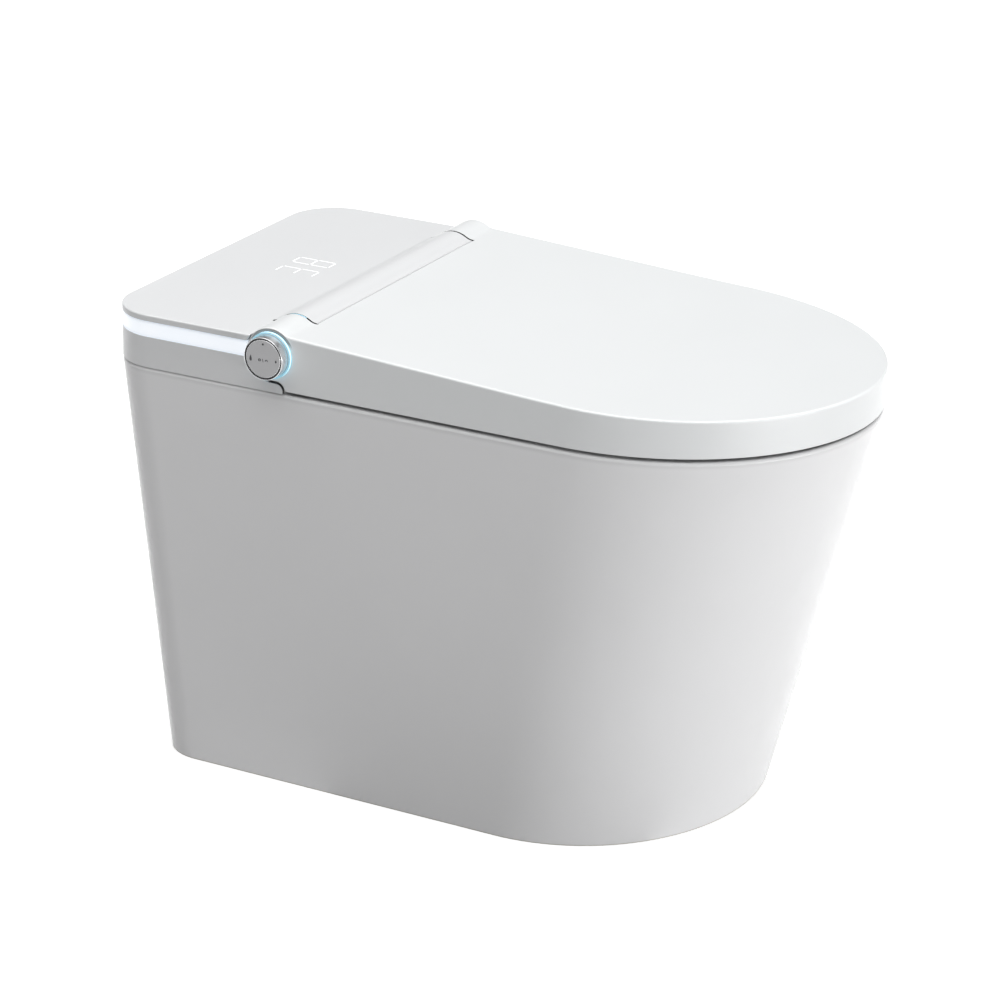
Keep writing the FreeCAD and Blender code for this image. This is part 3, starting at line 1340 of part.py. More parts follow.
def knob_button():
    face = -HALF_W - KNOB_GAP - KNOB_BASE_T - KNOB_RING_LIFT - KNOB_RING_L
    radius = KNOB_RING_R - KNOB_RING_WALL - FACE_GAP
    body = hinge_rod(face, face + FACE_T, radius)
    lip = [e for e in body.Edges if e.BoundBox.XMax < face + FACE_T / 2]
    body = body.makeFillet(FACE_EDGE_R, lip)
    return body.fuse(hinge_rod(face + FACE_T, face + FACE_T + STEM_L, STEM_R))


def push_switch():
    face = -HALF_W - KNOB_GAP - KNOB_BASE_T - KNOB_RING_LIFT - KNOB_RING_L
    start = face + FACE_T + STEM_L + PRESS_TRAVEL + SWITCH_CLEAR
    return hinge_rod(start, start + SWITCH_L, STEM_R)


# Nozzles. They are drawn level along +Y from the tip and then tilted into place.

def tilted(shape):
    placed = shape.copy()
    placed.rotate(V(0, 0, 0), V(1, 0, 0), math.degrees(NOZZLE_TILT))
    placed.translate(V(0, NOZZLE_TIP_Y, NOZZLE_Z))
    return placed


def rack(x):
    pitch = math.pi * GEAR_MODULE
    first, last = PINION_AT - RACK_MARGIN, PINION_AT + WAND_TRAVEL + RACK_MARGIN
    bar = box(x - GEAR_W / 2, x + GEAR_W / 2, first, last, 0, RACK_ROOT)
    half_root = pitch / 4 + GEAR_MODULE * math.tan(PRESSURE_ANGLE) - TOOTH_THIN
    half_tip = pitch / 4 - GEAR_MODULE * math.tan(PRESSURE_ANGLE) - TOOTH_THIN
    tip = RACK_PITCH_LINE + GEAR_MODULE
    teeth = []
    count = int((last - first) / pitch) - 1
    reach = int((PINION_AT - first) / pitch)
    for step in range(-reach + 1, count - reach):
        y = PINION_AT + (step + 0.5) * pitch
        points = [yz(y - half_root, RACK_ROOT - RUNNING_GAP), yz(y + half_root, RACK_ROOT - RUNNING_GAP),
                  yz(y + half_tip, tip), yz(y - half_tip, tip)]
        teeth.append(polygon_x(points, x - GEAR_W / 2, x + GEAR_W / 2))
    return bar.fuse(teeth)


def wand(x):
    body = rod(V(x, 0, 0), V(x, WAND_L, 0), WAND_R)
    nose = [e for e in body.Edges if e.BoundBox.YMax < WAND_R]
    body = body.makeFillet(WAND_TIP_R, nose)
    for step in range(WAND_SPOUT_COUNT):
        y = WAND_SPOUT_BACK + step * WAND_SPOUT_STEP
        body = body.cut(upright(x, y, WAND_R / 2, WAND_R + OVERRUN, WAND_SPOUT_R))
    return tilted(body.fuse(rack(x)))


def wash_wand():
    return wand(-NOZZLE_X)


def bidet_wand():
    return wand(NOZZLE_X)


def pinion(x, shaft_end):
    """Pinion with a tooth in a gap of the rack, on its motor's shaft."""
    pitch = 2 * math.pi / PINION_TEETH
    root = GEAR_R - GEAR_MODULE - GEAR_ROOT_SPARE
    tip = GEAR_R + GEAR_MODULE
    thin = TOOTH_THIN / GEAR_R
    slope = math.tan(PRESSURE_ANGLE) * GEAR_MODULE / GEAR_R
    points = []
    for tooth in range(PINION_TEETH):
        middle = -math.pi / 2 + tooth * pitch
        for radius, half in ((root, pitch / 4 + slope), (tip, pitch / 4 - slope)):
            points.append((radius, middle - half + thin))
        for radius, half in ((tip, pitch / 4 - slope), (root, pitch / 4 + slope)):
            points.append((radius, middle + half - thin))
    outline = [yz(PINION_AT + r * math.cos(a), PINION_RISE + r * math.sin(a)) for r, a in points]
    wheel = polygon_x(outline, x - GEAR_W / 2, x + GEAR_W / 2)
    return tilted(wheel.fuse(rod(V(x, PINION_AT, PINION_RISE), V(shaft_end, PINION_AT, PINION_RISE),
                                 PINION_SHAFT_R)))


def wash_pinion():
    return pinion(-NOZZLE_X, -GUIDE_HALF_W - MOTOR_L / 2)


def bidet_pinion():
    return pinion(NOZZLE_X, GUIDE_HALF_W + MOTOR_L / 2)


def nozzle_housing():
    body = box(-GUIDE_HALF_W, GUIDE_HALF_W, GUIDE_START, GUIDE_START + GUIDE_L,
               -WAND_R - GUIDE_FIT - GUIDE_WALL, GUIDE_TOP)
    plate_top = PINION_RISE + BRACKET_RISE
    plate = box(GUIDE_HALF_W - BRACKET_T, GUIDE_HALF_W, PINION_AT - BRACKET_HALF_L,
                PINION_AT + BRACKET_HALF_L, GUIDE_TOP - BRACKET_T, plate_top)
    body = body.fuse(both_sides(plate))
    for x in (-NOZZLE_X, NOZZLE_X):
        body = body.cut(rod(V(x, GUIDE_START - OVERRUN, 0), V(x, GUIDE_START + GUIDE_L + OVERRUN, 0),
                            WAND_R + GUIDE_FIT))
    body = body.cut(rod(V(-HALF_W, PINION_AT, PINION_RISE), V(HALF_W, PINION_AT, PINION_RISE),
                        PINION_SHAFT_R + RUNNING_GAP))
    body = tilted(body)
    flange_z = FLOOR_Z + FLANGE_GAP
    inner = GUIDE_HALF_W - GUIDE_WALL / 2
    outer = GUIDE_HALF_W + FLANGE_W
    flange = box(inner, outer, FLANGE_Y, FLANGE_Y + FLANGE_L, flange_z, flange_z + FLANGE_T)
    inlet = box(inner, outer, FLANGE_Y + FLANGE_L - INLET_BLOCK_L, FLANGE_Y + FLANGE_L,
                flange_z, flange_z + INLET_BLOCK_H)
    return body.fuse([both_sides(flange), inlet])


def nozzle_motors():
    start, end = GUIDE_HALF_W, GUIDE_HALF_W + MOTOR_L
    motor = rod(V(start, PINION_AT, PINION_RISE), V(end, PINION_AT, PINION_RISE), MOTOR_R)
    rim = [e for e in motor.Edges if e.BoundBox.XMin > start + MOTOR_L / 2]
    motor = motor.makeFillet(MOTOR_R / 6, rim)
    bore_end = start + MOTOR_L / 2 + OVERRUN
    motor = motor.cut(rod(V(start - OVERRUN, PINION_AT, PINION_RISE),
                          V(bore_end, PINION_AT, PINION_RISE), PINION_SHAFT_R + RUNNING_GAP))
    return pair(tilted(motor))


# Blowers: the warm-air dryer on the far side, the deodoriser on the near side

def duct_side(inset):
    """Side outline of a duct, from its mouth over the bowl back to the scroll."""
    slope = (FLOOR_Z - DUCT_MOUTH_Z) / (DUCT_KNEE_Y - DUCT_MOUTH_Y)
    low = FLOOR_Z + FLANGE_GAP + inset
    mouth = yz(DUCT_MOUTH_Y, DUCT_MOUTH_Z + inset)
    knee = yz(DUCT_KNEE_Y, low)
    end = yz(SCROLL_Y, low)
    roof_z = FLOOR_Z + FLANGE_GAP + DUCT_H - inset
    roof_knee = yz(DUCT_KNEE_Y - DUCT_H * slope, roof_z)
    return [mouth, knee, end, yz(SCROLL_Y, FLOOR_Z + SCROLL_H - inset),
            yz(DUCT_NECK_Y + SCROLL_R, FLOOR_Z + SCROLL_H - inset), yz(DUCT_NECK_Y, roof_z), roof_knee,
            yz(DUCT_MOUTH_Y, DUCT_MOUTH_Z + DUCT_H - inset)]


def blower_housing():
    x0, x1 = DUCT_X - DUCT_W / 2, DUCT_X + DUCT_W / 2
    z0 = FLOOR_Z + FLANGE_GAP
    top = FLOOR_Z + SCROLL_H
    body = polygon_x(duct_side(0), x0, x1).fuse(upright(SCROLL_X, SCROLL_Y, z0, top, SCROLL_R))
    inside = upright(SCROLL_X, SCROLL_Y, z0 + SCROLL_WALL, top - SCROLL_WALL,
                     SCROLL_R - SCROLL_WALL)
    points = duct_side(DUCT_WALL)
    reach = yz(-OVERRUN, (DUCT_MOUTH_Z - FLOOR_Z) / (DUCT_KNEE_Y - DUCT_MOUTH_Y) * OVERRUN)
    points = [points[0] + reach] + points[1:-1] + [points[-1] + reach]
    passage = polygon_x(points, x0 + DUCT_WALL, x1 - DUCT_WALL)
    shaft = upright(SCROLL_X, SCROLL_Y, top - SCROLL_WALL - OVERRUN, top + OVERRUN,
                    FAN_SHAFT_R + HOLE_FIT)
    return body.cut(passage.fuse(inside)).cut(shaft)


def dryer_housing():
    """Blower with two lugs at its mouth that carry the flap's pin."""
    pivot = flap_pivot()
    reach = FLAP_PIN_R + DUCT_WALL
    top = DUCT_MOUTH_Z + DUCT_H
    body = blower_housing()
    for x in (DUCT_X - DUCT_W / 2, DUCT_X + DUCT_W / 2 - DUCT_WALL):
        lug = box(x, x + DUCT_WALL, pivot.y - reach, DUCT_MOUTH_Y, pivot.z - reach, top)
        body = body.fuse(lug)
    hole = rod(V(0, pivot.y, pivot.z), V(HALF_W, pivot.y, pivot.z), FLAP_PIN_R + RUNNING_GAP)
    return body.cut(hole)


def deodoriser_housing():
    return mirrored(blower_housing())


def impeller():
    z0 = FLOOR_Z + FLANGE_GAP + IMPELLER_LIFT + SCROLL_WALL
    body = upright(SCROLL_X, SCROLL_Y, z0, z0 + IMPELLER_PLATE, IMPELLER_R)
    hub_top = FLOOR_Z + SCROLL_H - SCROLL_WALL - IMPELLER_LIFT
    body = body.fuse(upright(SCROLL_X, SCROLL_Y, z0, hub_top, IMPELLER_HUB_R))
    shaft_top = FLOOR_Z + SCROLL_H + FAN_MOTOR_H / 2
    body = body.fuse(upright(SCROLL_X, SCROLL_Y, hub_top, shaft_top, FAN_SHAFT_R))
    blade = box(SCROLL_X + IMPELLER_R - BLADE_L, SCROLL_X + IMPELLER_R - BLADE_T,
                SCROLL_Y - BLADE_T / 2, SCROLL_Y + BLADE_T / 2, z0, z0 + IMPELLER_H)
    blades = []
    for step in range(BLADE_COUNT):
        turned = blade.copy()
        turned.rotate(V(SCROLL_X, SCROLL_Y, 0), V(0, 0, 1), 360 * step / BLADE_COUNT)
        blades.append(turned)
    return body.fuse(blades)


def dryer_impeller():
    return impeller()


def deodoriser_impeller():
    return mirrored(impeller())


def fan_motor():
    z0 = FLOOR_Z + SCROLL_H
    body = upright(SCROLL_X, SCROLL_Y, z0, z0 + FAN_MOTOR_H, FAN_MOTOR_R)
    body = body.makeFillet(FAN_MOTOR_R / 8, level_edges(body, z0 + FAN_MOTOR_H))
    return body.cut(upright(SCROLL_X, SCROLL_Y, z0 - OVERRUN, z0 + FAN_MOTOR_H / 2 + SEAT_FIT,
                            FAN_SHAFT_R + RUNNING_GAP))


def fan_motors():
    return pair(fan_motor())


def dryer_heater():
    """Finned element across the duct, between its floor and its roof."""
    z0 = FLOOR_Z + FLANGE_GAP + DUCT_WALL
    z1 = FLOOR_Z + FLANGE_GAP + DUCT_H - DUCT_WALL - SEAT_FIT
    y0 = DUCT_KNEE_Y
    half = DUCT_W / 2 - DUCT_WALL - SEAT_FIT
    bars = [box(DUCT_X - half, DUCT_X + half, y0, y0 + HEATER_L, z0, z0 + HEATER_FIN_T)]
    for step in range(HEATER_FIN_COUNT):
        x = DUCT_X - half + step * (2 * half - HEATER_FIN_T) / (HEATER_FIN_COUNT - 1)
        bars.append(box(x, x + HEATER_FIN_T, y0, y0 + HEATER_L, z0, z1))
    return bars[0].fuse(bars[1:])


def flap_pivot():
    return yz(DUCT_MOUTH_Y - FLAP_GAP - FLAP_PIN_R, DUCT_MOUTH_Z + DUCT_H - FLAP_PIN_R)


def dryer_flap():
    """Hinged door on the dryer's mouth."""
    pivot = flap_pivot()
    half = DUCT_W / 2 - DUCT_WALL - FLAP_GAP
    x0, x1 = DUCT_X - DUCT_W / 2, DUCT_X + DUCT_W / 2
    plate = box(DUCT_X - half, DUCT_X + half, pivot.y - FLAP_T / 2, pivot.y + FLAP_T / 2,
                DUCT_MOUTH_Z, pivot.z)
    return plate.fuse(rod(V(x0, pivot.y, pivot.z), V(x1, pivot.y, pivot.z), FLAP_PIN_R))


def carbon_filter():
    """Filter cartridge standing behind the deodoriser's scroll."""
    z0 = FLOOR_Z + FLANGE_GAP
    y0 = SCROLL_Y + SCROLL_R + SEAT_FIT
    x0 = -SCROLL_X - FILTER_W / 2
    body = box(x0, x0 + FILTER_W, y0, y0 + FILTER_L, z0, z0 + FILTER_H)
    slot = (FILTER_W - FILTER_WALL) / FILTER_SLOT_COUNT - FILTER_WALL
    for step in range(FILTER_SLOT_COUNT):
        x = x0 + FILTER_WALL + step * (slot + FILTER_WALL)
        body = body.cut(box(x, x + slot, y0 + FILTER_WALL, y0 + FILTER_L - FILTER_WALL,
                            z0 + FILTER_H / 2, z0 + FILTER_H + OVERRUN))
    return body


# Electronics and water heater

def control_case():
    z0 = FLOOR_Z + FLANGE_GAP
    body = box(-BOX_X - BOX_W, -BOX_X, BOX_Y, BOX_Y + BOX_L, z0, z0 + CASE_H)
    room = box(-BOX_X - BOX_W + CASE_WALL, -BOX_X - CASE_WALL, BOX_Y + CASE_WALL,
               BOX_Y + BOX_L - CASE_WALL, z0 + CASE_LEDGE, z0 + CASE_H + OVERRUN)
    return body.cut(room)


def control_board():
    z0 = FLOOR_Z + FLANGE_GAP + CASE_LEDGE
    margin = CASE_WALL + SEAT_FIT
    x0, x1 = -BOX_X - BOX_W + margin, -BOX_X - margin
    y0, y1 = BOX_Y + margin, BOX_Y + BOX_L - margin
    top = z0 + PCB_T
    parts = []
    for step in range(RELAY_COUNT):
        y = y0 + RELAY_W / 2 + step * (RELAY_L + RELAY_W / 4)
        x = x0 + RELAY_W / 2
        parts.append(box(x, x + RELAY_W, y, y + RELAY_L, top, top + RELAY_H))
    for step in range(CAPACITOR_COUNT):
        y = y0 + CAPACITOR_R * 2 + step * CAPACITOR_R * 3
        parts.append(upright(x1 - CAPACITOR_R * 2, y, top, top + CAPACITOR_H, CAPACITOR_R))
    return box(x0, x1, y0, y1, z0, top).fuse(parts)


def water_heater():
    z0 = FLOOR_Z + FLANGE_GAP
    body = box(BOX_X, BOX_X + BOX_W, BOX_Y, BOX_Y + BOX_L, z0, z0 + HEATER_BOX_H)
    body = body.makeFillet(HEATER_EDGE_R, upright_edges(body) + level_edges(body, z0 + HEATER_BOX_H))
    port_y, port_z = heater_port()
    port = rod(V(BOX_X - HEATER_PORT_L, port_y, port_z), V(BOX_X, port_y, port_z), HEATER_PORT_R)
    inlet = upright(VALVE_X, VALVE_Y, z0 - OVERRUN, z0 + HEATER_BOX_H / 3, HOSE_BORE_R)
    return body.fuse(port).cut(inlet)


def heater_port():
    return SCROLL_Y + SCROLL_R + HEATER_PORT_BACK, FLOOR_Z + HEATER_BOX_H / 4


def wash_hose():
    """Warm water from the heater round the dryer's scroll to the back of the nozzle guide."""
    port_y, port_z = heater_port()
    run_x = GUIDE_HALF_W + FLANGE_W / 2
    path = tube_path([V(BOX_X - HEATER_PORT_L, port_y, port_z), V(run_x, port_y, port_z),
                      V(run_x, FLANGE_Y + FLANGE_L, port_z)], WASH_BEND_R)
    return swept(path, WASH_HOSE_R).cut(swept(path, WASH_HOSE_BORE_R))


PIECES = [
    ceramic_body, outlet_connector, floor_seal,
    flush_tank, valve_block, flush_pump, pump_motor, flush_hose, rim_spout, feed_hose,
    inlet_fitting, inlet_lock_nut, power_gland,
    lid, lid_bush, lid_shaft, hinge_cap, lid_buffers,
    seat_top, seat_heater, seat_base, seat_bushes, damper_sleeve, seat_buffers,
    hinge_tube, seat_damper, lid_damper,
    chassis, top_cover, light_band, led_strip, display_board, display_segments,
    cover_screws, mounting_bolts, mounting_nuts,
    knob_base, knob_light_ring, knob_ring, knob_button, push_switch,
    wash_wand, bidet_wand, wash_pinion, bidet_pinion, nozzle_housing, nozzle_motors,
    dryer_housing, deodoriser_housing, dryer_impeller, deodoriser_impeller, fan_motors,
    dryer_heater, dryer_flap, carbon_filter,
    control_case, control_board, water_heater, wash_hose,
]

os.makedirs("parts", exist_ok=True)
for piece in PIECES:
    piece().exportStep("parts/" + piece.__name__ + ".step")
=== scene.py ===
import json
import math

import bmesh
import bpy
from bpy.props import FloatProperty, FloatVectorProperty, IntProperty, PointerProperty
from mathutils import Matrix, Vector


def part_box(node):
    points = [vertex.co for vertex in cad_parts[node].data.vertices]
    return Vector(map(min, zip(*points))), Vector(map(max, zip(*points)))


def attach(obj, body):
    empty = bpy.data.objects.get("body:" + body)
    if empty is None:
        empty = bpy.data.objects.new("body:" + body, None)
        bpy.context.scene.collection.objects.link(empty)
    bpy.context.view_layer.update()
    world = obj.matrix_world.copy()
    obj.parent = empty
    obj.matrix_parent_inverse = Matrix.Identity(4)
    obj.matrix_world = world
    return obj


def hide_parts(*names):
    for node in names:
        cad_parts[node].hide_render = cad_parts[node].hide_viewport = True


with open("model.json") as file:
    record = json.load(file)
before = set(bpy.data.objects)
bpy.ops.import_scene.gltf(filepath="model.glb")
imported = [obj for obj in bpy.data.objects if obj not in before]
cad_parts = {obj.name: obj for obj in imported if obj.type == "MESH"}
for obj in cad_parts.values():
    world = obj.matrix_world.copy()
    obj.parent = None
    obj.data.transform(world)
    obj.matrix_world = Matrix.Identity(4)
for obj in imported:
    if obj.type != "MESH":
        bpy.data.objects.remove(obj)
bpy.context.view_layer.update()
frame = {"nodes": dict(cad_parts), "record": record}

bl_info = {
    "name": "Smart Toilet",
    "version": (1, 0, 0),
    "blender": (4, 5, 0),
    "location": "View3D > Sidebar > Toilet",
    "description": "Finishes, small parts, light and camera for a floor-standing smart toilet",
    "category": "Object",
}

MM = 0.001
BODY_OF = {node: body for body, nodes in frame["record"]["behaviour"]["bodies"].items() for node in nodes}
MERGE_GAP = 0.002 * MM

# Colours that more than one piece has
BUSH_WHITE = (0.72, 0.72, 0.68)
PIPE_GREY = (0.62, 0.63, 0.64)
FOIL_GREY = (0.66, 0.66, 0.67)
BOARD_GREEN = (0.05, 0.19, 0.10)

# Sides of round pieces and steps of curved marks
EDGE_SIDES = 128
FACE_SIDES = 96
TAIL_SIDES = 64
CURVE_STEPS = 24


# Settings

def colour_setting(name, description, default):
    return FloatVectorProperty(name=name, description=description, default=default, size=3,
                               subtype="COLOR", min=0.0, max=1.0)


def length_setting(name, description, default):
    return FloatProperty(name=name, description=description, default=default, unit="LENGTH", precision=5)


def angle_setting(name, description, degrees):
    return FloatProperty(name=name, description=description, default=math.radians(degrees), subtype="ANGLE")


def glow_setting(name, description, default):
    return FloatProperty(name=name, description=description, default=default, min=0.0)


def count_setting(name, description, default, least):
    return IntProperty(name=name, description=description, default=default, min=least)


def power_setting(name, description, default):
    return FloatProperty(name=name, description=description, default=default, unit="POWER", min=0.0)


class ToiletFinish(bpy.types.PropertyGroup):
    """Colours and glow of the toilet's surfaces."""
    china: colour_setting("China", "Glaze of the body", (0.83, 0.83, 0.837))
    lid: colour_setting("Lid", "Moulded lid", (0.745, 0.76, 0.765))
    housing: colour_setting("Housing", "Cover and skirt of the seat unit", (0.695, 0.702, 0.71))
    seat: colour_setting("Seat", "Heated seat", (0.72, 0.72, 0.715))
    band: colour_setting("Band", "Light band round the housing", (0.80, 0.89, 1.0))
    ring: colour_setting("Ring", "Light ring behind the knob", (0.05, 0.58, 0.80))
    digit: colour_setting("Digits", "Lit bars of the number display", (1.0, 1.0, 1.0))
    knob: colour_setting("Knob face", "Satin face of the knob", (0.30, 0.30, 0.305))
    band_glow: glow_setting("Band glow", "Strength of the light band", 0.70)
    ring_glow: glow_setting("Ring glow", "Strength of the knob's light", 1.35)
    slot_glow: glow_setting("Slot glow", "Strength of the light in the near slot", 0.95)
    digit_glow: glow_setting("Digit glow", "Strength of the display", 0.8)


class ToiletDetail(bpy.types.PropertyGroup):
    """Sizes of the small parts."""
    crease: angle_setting("Crease", "Sharpest angle that is still shaded smooth", 32)
    face_sink: length_setting("Face sink", "Depth of the knob's face below its rim", 0.35 * MM)
    face_spread: length_setting("Face spread", "How far the knob's face reaches past its button", 0.45 * MM)
    groove: length_setting("Groove", "Width of the groove round the knob's face", 1.2 * MM)
    mark_height: length_setting("Mark height", "Height of the marks on the knob's face", 0.18 * MM)
    slot_inside: length_setting("Slot inside", "From the middle to a hinge slot's near side", 150.0 * MM)
    slot_outside: length_setting("Slot outside", "From the middle to a hinge slot's far side", 151.8 * MM)
    slot_width: length_setting("Slot light width", "Width of the light in the hinge slot", 1.3 * MM)
    slot_depth: length_setting("Slot light depth", "Depth of the light below the ridge's top", 0.22 * MM)
    slot_steps: count_setting("Slot light steps", "Sides of the slot light's arc", 24, 3)
    thread_pitch: length_setting("Thread pitch", "Pitch of the water inlet's thread", 1.814 * MM)
    thread_depth: length_setting("Thread depth", "Depth of the water inlet's thread", 1.0 * MM)
    slat_count: count_setting("Slats", "Slats of the air intake", 9, 2)
    grip_count: count_setting("Grips", "Grip ribs round the cable gland", 16, 3)


class ToiletStage(bpy.types.PropertyGroup):
    """Camera, floor and lights."""
    azimuth: angle_setting("Azimuth", "Turn of the camera round the toilet", -62.3082)
    elevation: angle_setting("Elevation", "Height of the camera over the horizon", 21.4233)
    roll: angle_setting("Roll", "Tilt of the camera about its own line of sight", 0.9868)
    distance: length_setting("Distance", "From the camera to the point that it looks at", 3.4692)
    lens: FloatProperty(name="Lens", description="Focal length", default=129.585, unit="CAMERA")
    aim: FloatVectorProperty(name="Aim", description="Point that the camera turns round", size=3,
                             default=(0.0, -0.055, 0.230), subtype="XYZ", unit="LENGTH")
    shift_right: length_setting("Shift right", "Aim moved along the picture", -0.02388)
    shift_up: length_setting("Shift up", "Aim moved up the picture", 0.02614)
    floor: length_setting("Floor", "Half of the floor's width", 14.0)
    flag: FloatVectorProperty(name="Flag", description="Width and length of the black sheet", size=2,
                              default=(0.46, 0.38), unit="LENGTH")
    flag_place: FloatVectorProperty(name="Flag place", description="Middle of the black sheet", size=2,
                                    default=(-0.36, -0.14), unit="LENGTH")
    zenith: glow_setting("Zenith", "Glow of the room overhead", 2.8)
    wall: glow_setting("Walls", "Glow of the room at eye height", 0.20)
    front: glow_setting("Front", "Extra glow before the bowl", 0.5)
    dim: FloatProperty(name="Dim side", description="Share of the glow lost on the camera's side",
                       default=0.2, min=0.0, max=1.0)
    below: glow_setting("Below", "Light thrown up by the floor", 0.23)
    top_power: power_setting("Top light", "Large light overhead", 6.0)
    front_power: power_setting("Front light", "Low light before the bowl", 25.5)
    side_power: power_setting("Side light", "Weak light over the knob's side", 1.0)


# Shader maths

class Value:
    """A shader socket that Python's operators can combine with others and with numbers."""

    def __init__(self, shader, socket):
        self.shader = shader
        self.socket = socket

    def math(self, operation, *others):
        inputs = dict(enumerate((self,) + others))
        return self.shader.node("ShaderNodeMath", {"operation": operation}, inputs)

    def __add__(self, other):
        return self.math("ADD", other)

    def __radd__(self, other):
        return self.math("ADD", other)

    def __sub__(self, other):
        return self.math("SUBTRACT", other)

    def __rsub__(self, other):
        return self.math("MULTIPLY", -1.0).math("ADD", other)

    def __mul__(self, other):
        return self.math("MULTIPLY", other)

    def __rmul__(self, other):
        return self.math("MULTIPLY", other)

    def __truediv__(self, other):
        return self.math("DIVIDE", other)


class Graph:
    """Shader nodes of a material or of the surroundings, built one by one."""

    def __init__(self, owner):
        owner.use_nodes = True
        self.tree = owner.node_tree
        self.tree.nodes.clear()

    def feed(self, socket, value):
        if isinstance(value, Value):
            self.tree.links.new(value.socket, socket)
        elif isinstance(value, tuple) and len(value) == 3 and socket.type == "RGBA":
            socket.default_value = value + (1.0,)
        else:
            socket.default_value = value

    def node(self, kind, settings, inputs, output=0):
        made = self.tree.nodes.new(kind)
        for name, setting in settings.items():
            setattr(made, name, setting)
        for key, value in inputs.items():
            self.feed(made.inputs[key], value)
        return None if output is None else Value(self, made.outputs[output])

    def step(self, value, low, high, first=0.0, last=1.0):
        """first below low, last above high, smooth between them."""
        return self.node("ShaderNodeMapRange", {"interpolation_type": "SMOOTHSTEP"}, {
            "Value": value, "From Min": low, "From Max": high, "To Min": first, "To Max": last})

    def under(self, value, limit, soft):
        """1 below the limit, 0 from a soft edge above it."""
        return 1.0 - self.step(value, limit, limit + soft)

    def within(self, value, low, high, soft):
        """1 between low and high, 0 outside them, with soft edges on the inner side."""
        return self.step(value, low, low + soft) * self.under(value, high - soft, soft)


class Shader(Graph):
    """A material with one Principled shader."""

    def __init__(self, name):
        self.material = bpy.data.materials.new(name)
        super().__init__(self.material)
        self.surface = self.tree.nodes.new("ShaderNodeBsdfPrincipled")
        output = self.tree.nodes.new("ShaderNodeOutputMaterial")
        self.tree.links.new(self.surface.outputs[0], output.inputs["Surface"])

    def finish(self, **inputs):
        """Sets the Principled shader's sockets: words joined by _ are the socket's name."""
        for key, value in inputs.items():
            self.feed(self.surface.inputs[key.replace("_", " ").title().replace("Ior", "IOR")], value)
        return self.material

    def place(self):
        return self.node("ShaderNodeTexCoord", {}, {}, "Object")

    def along(self, axis):
        return self.node("ShaderNodeSeparateXYZ", {}, {"Vector": self.place()}, axis)

    def stretched(self, scale):
        return self.node("ShaderNodeMapping", {}, {"Vector": self.place(), "Scale": scale})

    def from_line(self, centre):
        """Distances along Y, along Z and straight from a line through centre that runs along X."""
        across, up = self.along("Y") - centre.y, self.along("Z") - centre.z
        return across, up, (across * across + up * up).math("SQRT")

    def noise(self, scale, detail=2.0, vector=None):
        return self.node("ShaderNodeTexNoise", {}, {
            "Vector": vector or self.place(), "Scale": scale, "Detail": detail, "Roughness": 0.55})

    def blend(self, low, high, factor):
        return self.node("ShaderNodeMix", {"data_type": "RGBA"}, {
            "Factor": factor, 6: low, 7: high}, 2)

    def bump(self, height, strength, distance):
        return self.node("ShaderNodeBump", {}, {
            "Height": height, "Strength": strength, "Distance": distance})


def shade(colour, factor):
    return tuple(part * factor for part in colour)


def glazed_china(colour):
    """Fired glaze: slow waves in its surface, faint pooling, painted shade on the rim's top and a matt
    unglazed foot.
    """
    s = Shader("Glazed china")
    pooled = s.noise(5.0, 3.0)
    wave = s.noise(9.0, 1.0)
    speck = s.noise(420.0, 2.0)
    glaze = s.blend(shade(colour, 0.985), colour, s.step(pooled, 0.35, 0.65))
    glaze = s.blend(glaze, shade(colour, 0.96), s.step(speck, 0.70, 0.80) * 0.35)
    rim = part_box("ceramic_body")[1][2]
    # Painted shade: the top of the rim is toned darker so that the overhead light does not wash it out.
    glaze = s.blend(glaze, shade(colour, 0.86), s.step(s.along("Z"), rim - 8.0 * MM, rim - 2.0 * MM))
    foot = s.under(s.along("Z"), 0.6 * MM, 0.8 * MM)
    body = s.blend(glaze, (0.62, 0.60, 0.56), foot)
    roughness = 0.20 + pooled * 0.10 + foot * 0.5
    surface = s.bump(wave + speck * 0.004, 0.25, 0.9 * MM)
    return s.finish(base_color=body, roughness=roughness, normal=surface, coat_weight=(1.0 - foot) * 0.15,
                    coat_roughness=0.06, coat_ior=1.4, ior=1.5, specular_ior_level=0.2)


def hinge_shadows(s, tone, colour, slot):
    """Painted shade: tones the slots' sides, the end wall over the knob and the gap over the near tab dark.
    """
    inside, outside, hinge = slot
    spill, spill_soft = 0.35 * MM, 0.1 * MM
    ridge_radius, ridge_soft = 30.0 * MM, 0.5 * MM
    wall_start, wall_full, wall_low, wall_high = 195.6 * MM, 196.6 * MM, 8.0 * MM, 15.0 * MM
    wall_radius, wall_soft = 24.8 * MM, 0.6 * MM
    gap_inside, gap_outside, gap_side_soft = 194.3 * MM, 197.7 * MM, 0.2 * MM
    gap_front, gap_rear, gap_top, gap_soft = -39.0 * MM, 4.0 * MM, -4.5 * MM, 1.0 * MM
    near = s.along("X") * -1.0
    across, up, radius = s.from_line(hinge)
    # Painted shade on the hinge slots' sides and their edges, near the ridge.
    slots = s.within(near.math("ABSOLUTE"), inside - spill, outside + spill + spill_soft, spill_soft)
    tone = s.blend(tone, shade(colour, 0.06), slots * s.under(radius, ridge_radius, ridge_soft))
    # Painted shade: a dark crescent on the lid's near end wall over the knob.
    wall = s.step(near, wall_start, wall_full) * s.step(up, wall_low, wall_high)
    tone = s.blend(tone, shade(colour, 0.34), wall * s.under(radius, wall_radius, wall_soft))
    # Painted shade in the gap over the near tab.
    gap = s.within(near, gap_inside, gap_outside, gap_side_soft)
    gap = gap * s.within(across, gap_front, gap_rear, gap_soft)
    return s.blend(tone, shade(colour, 0.15), gap * s.under(up, gap_top, gap_soft))


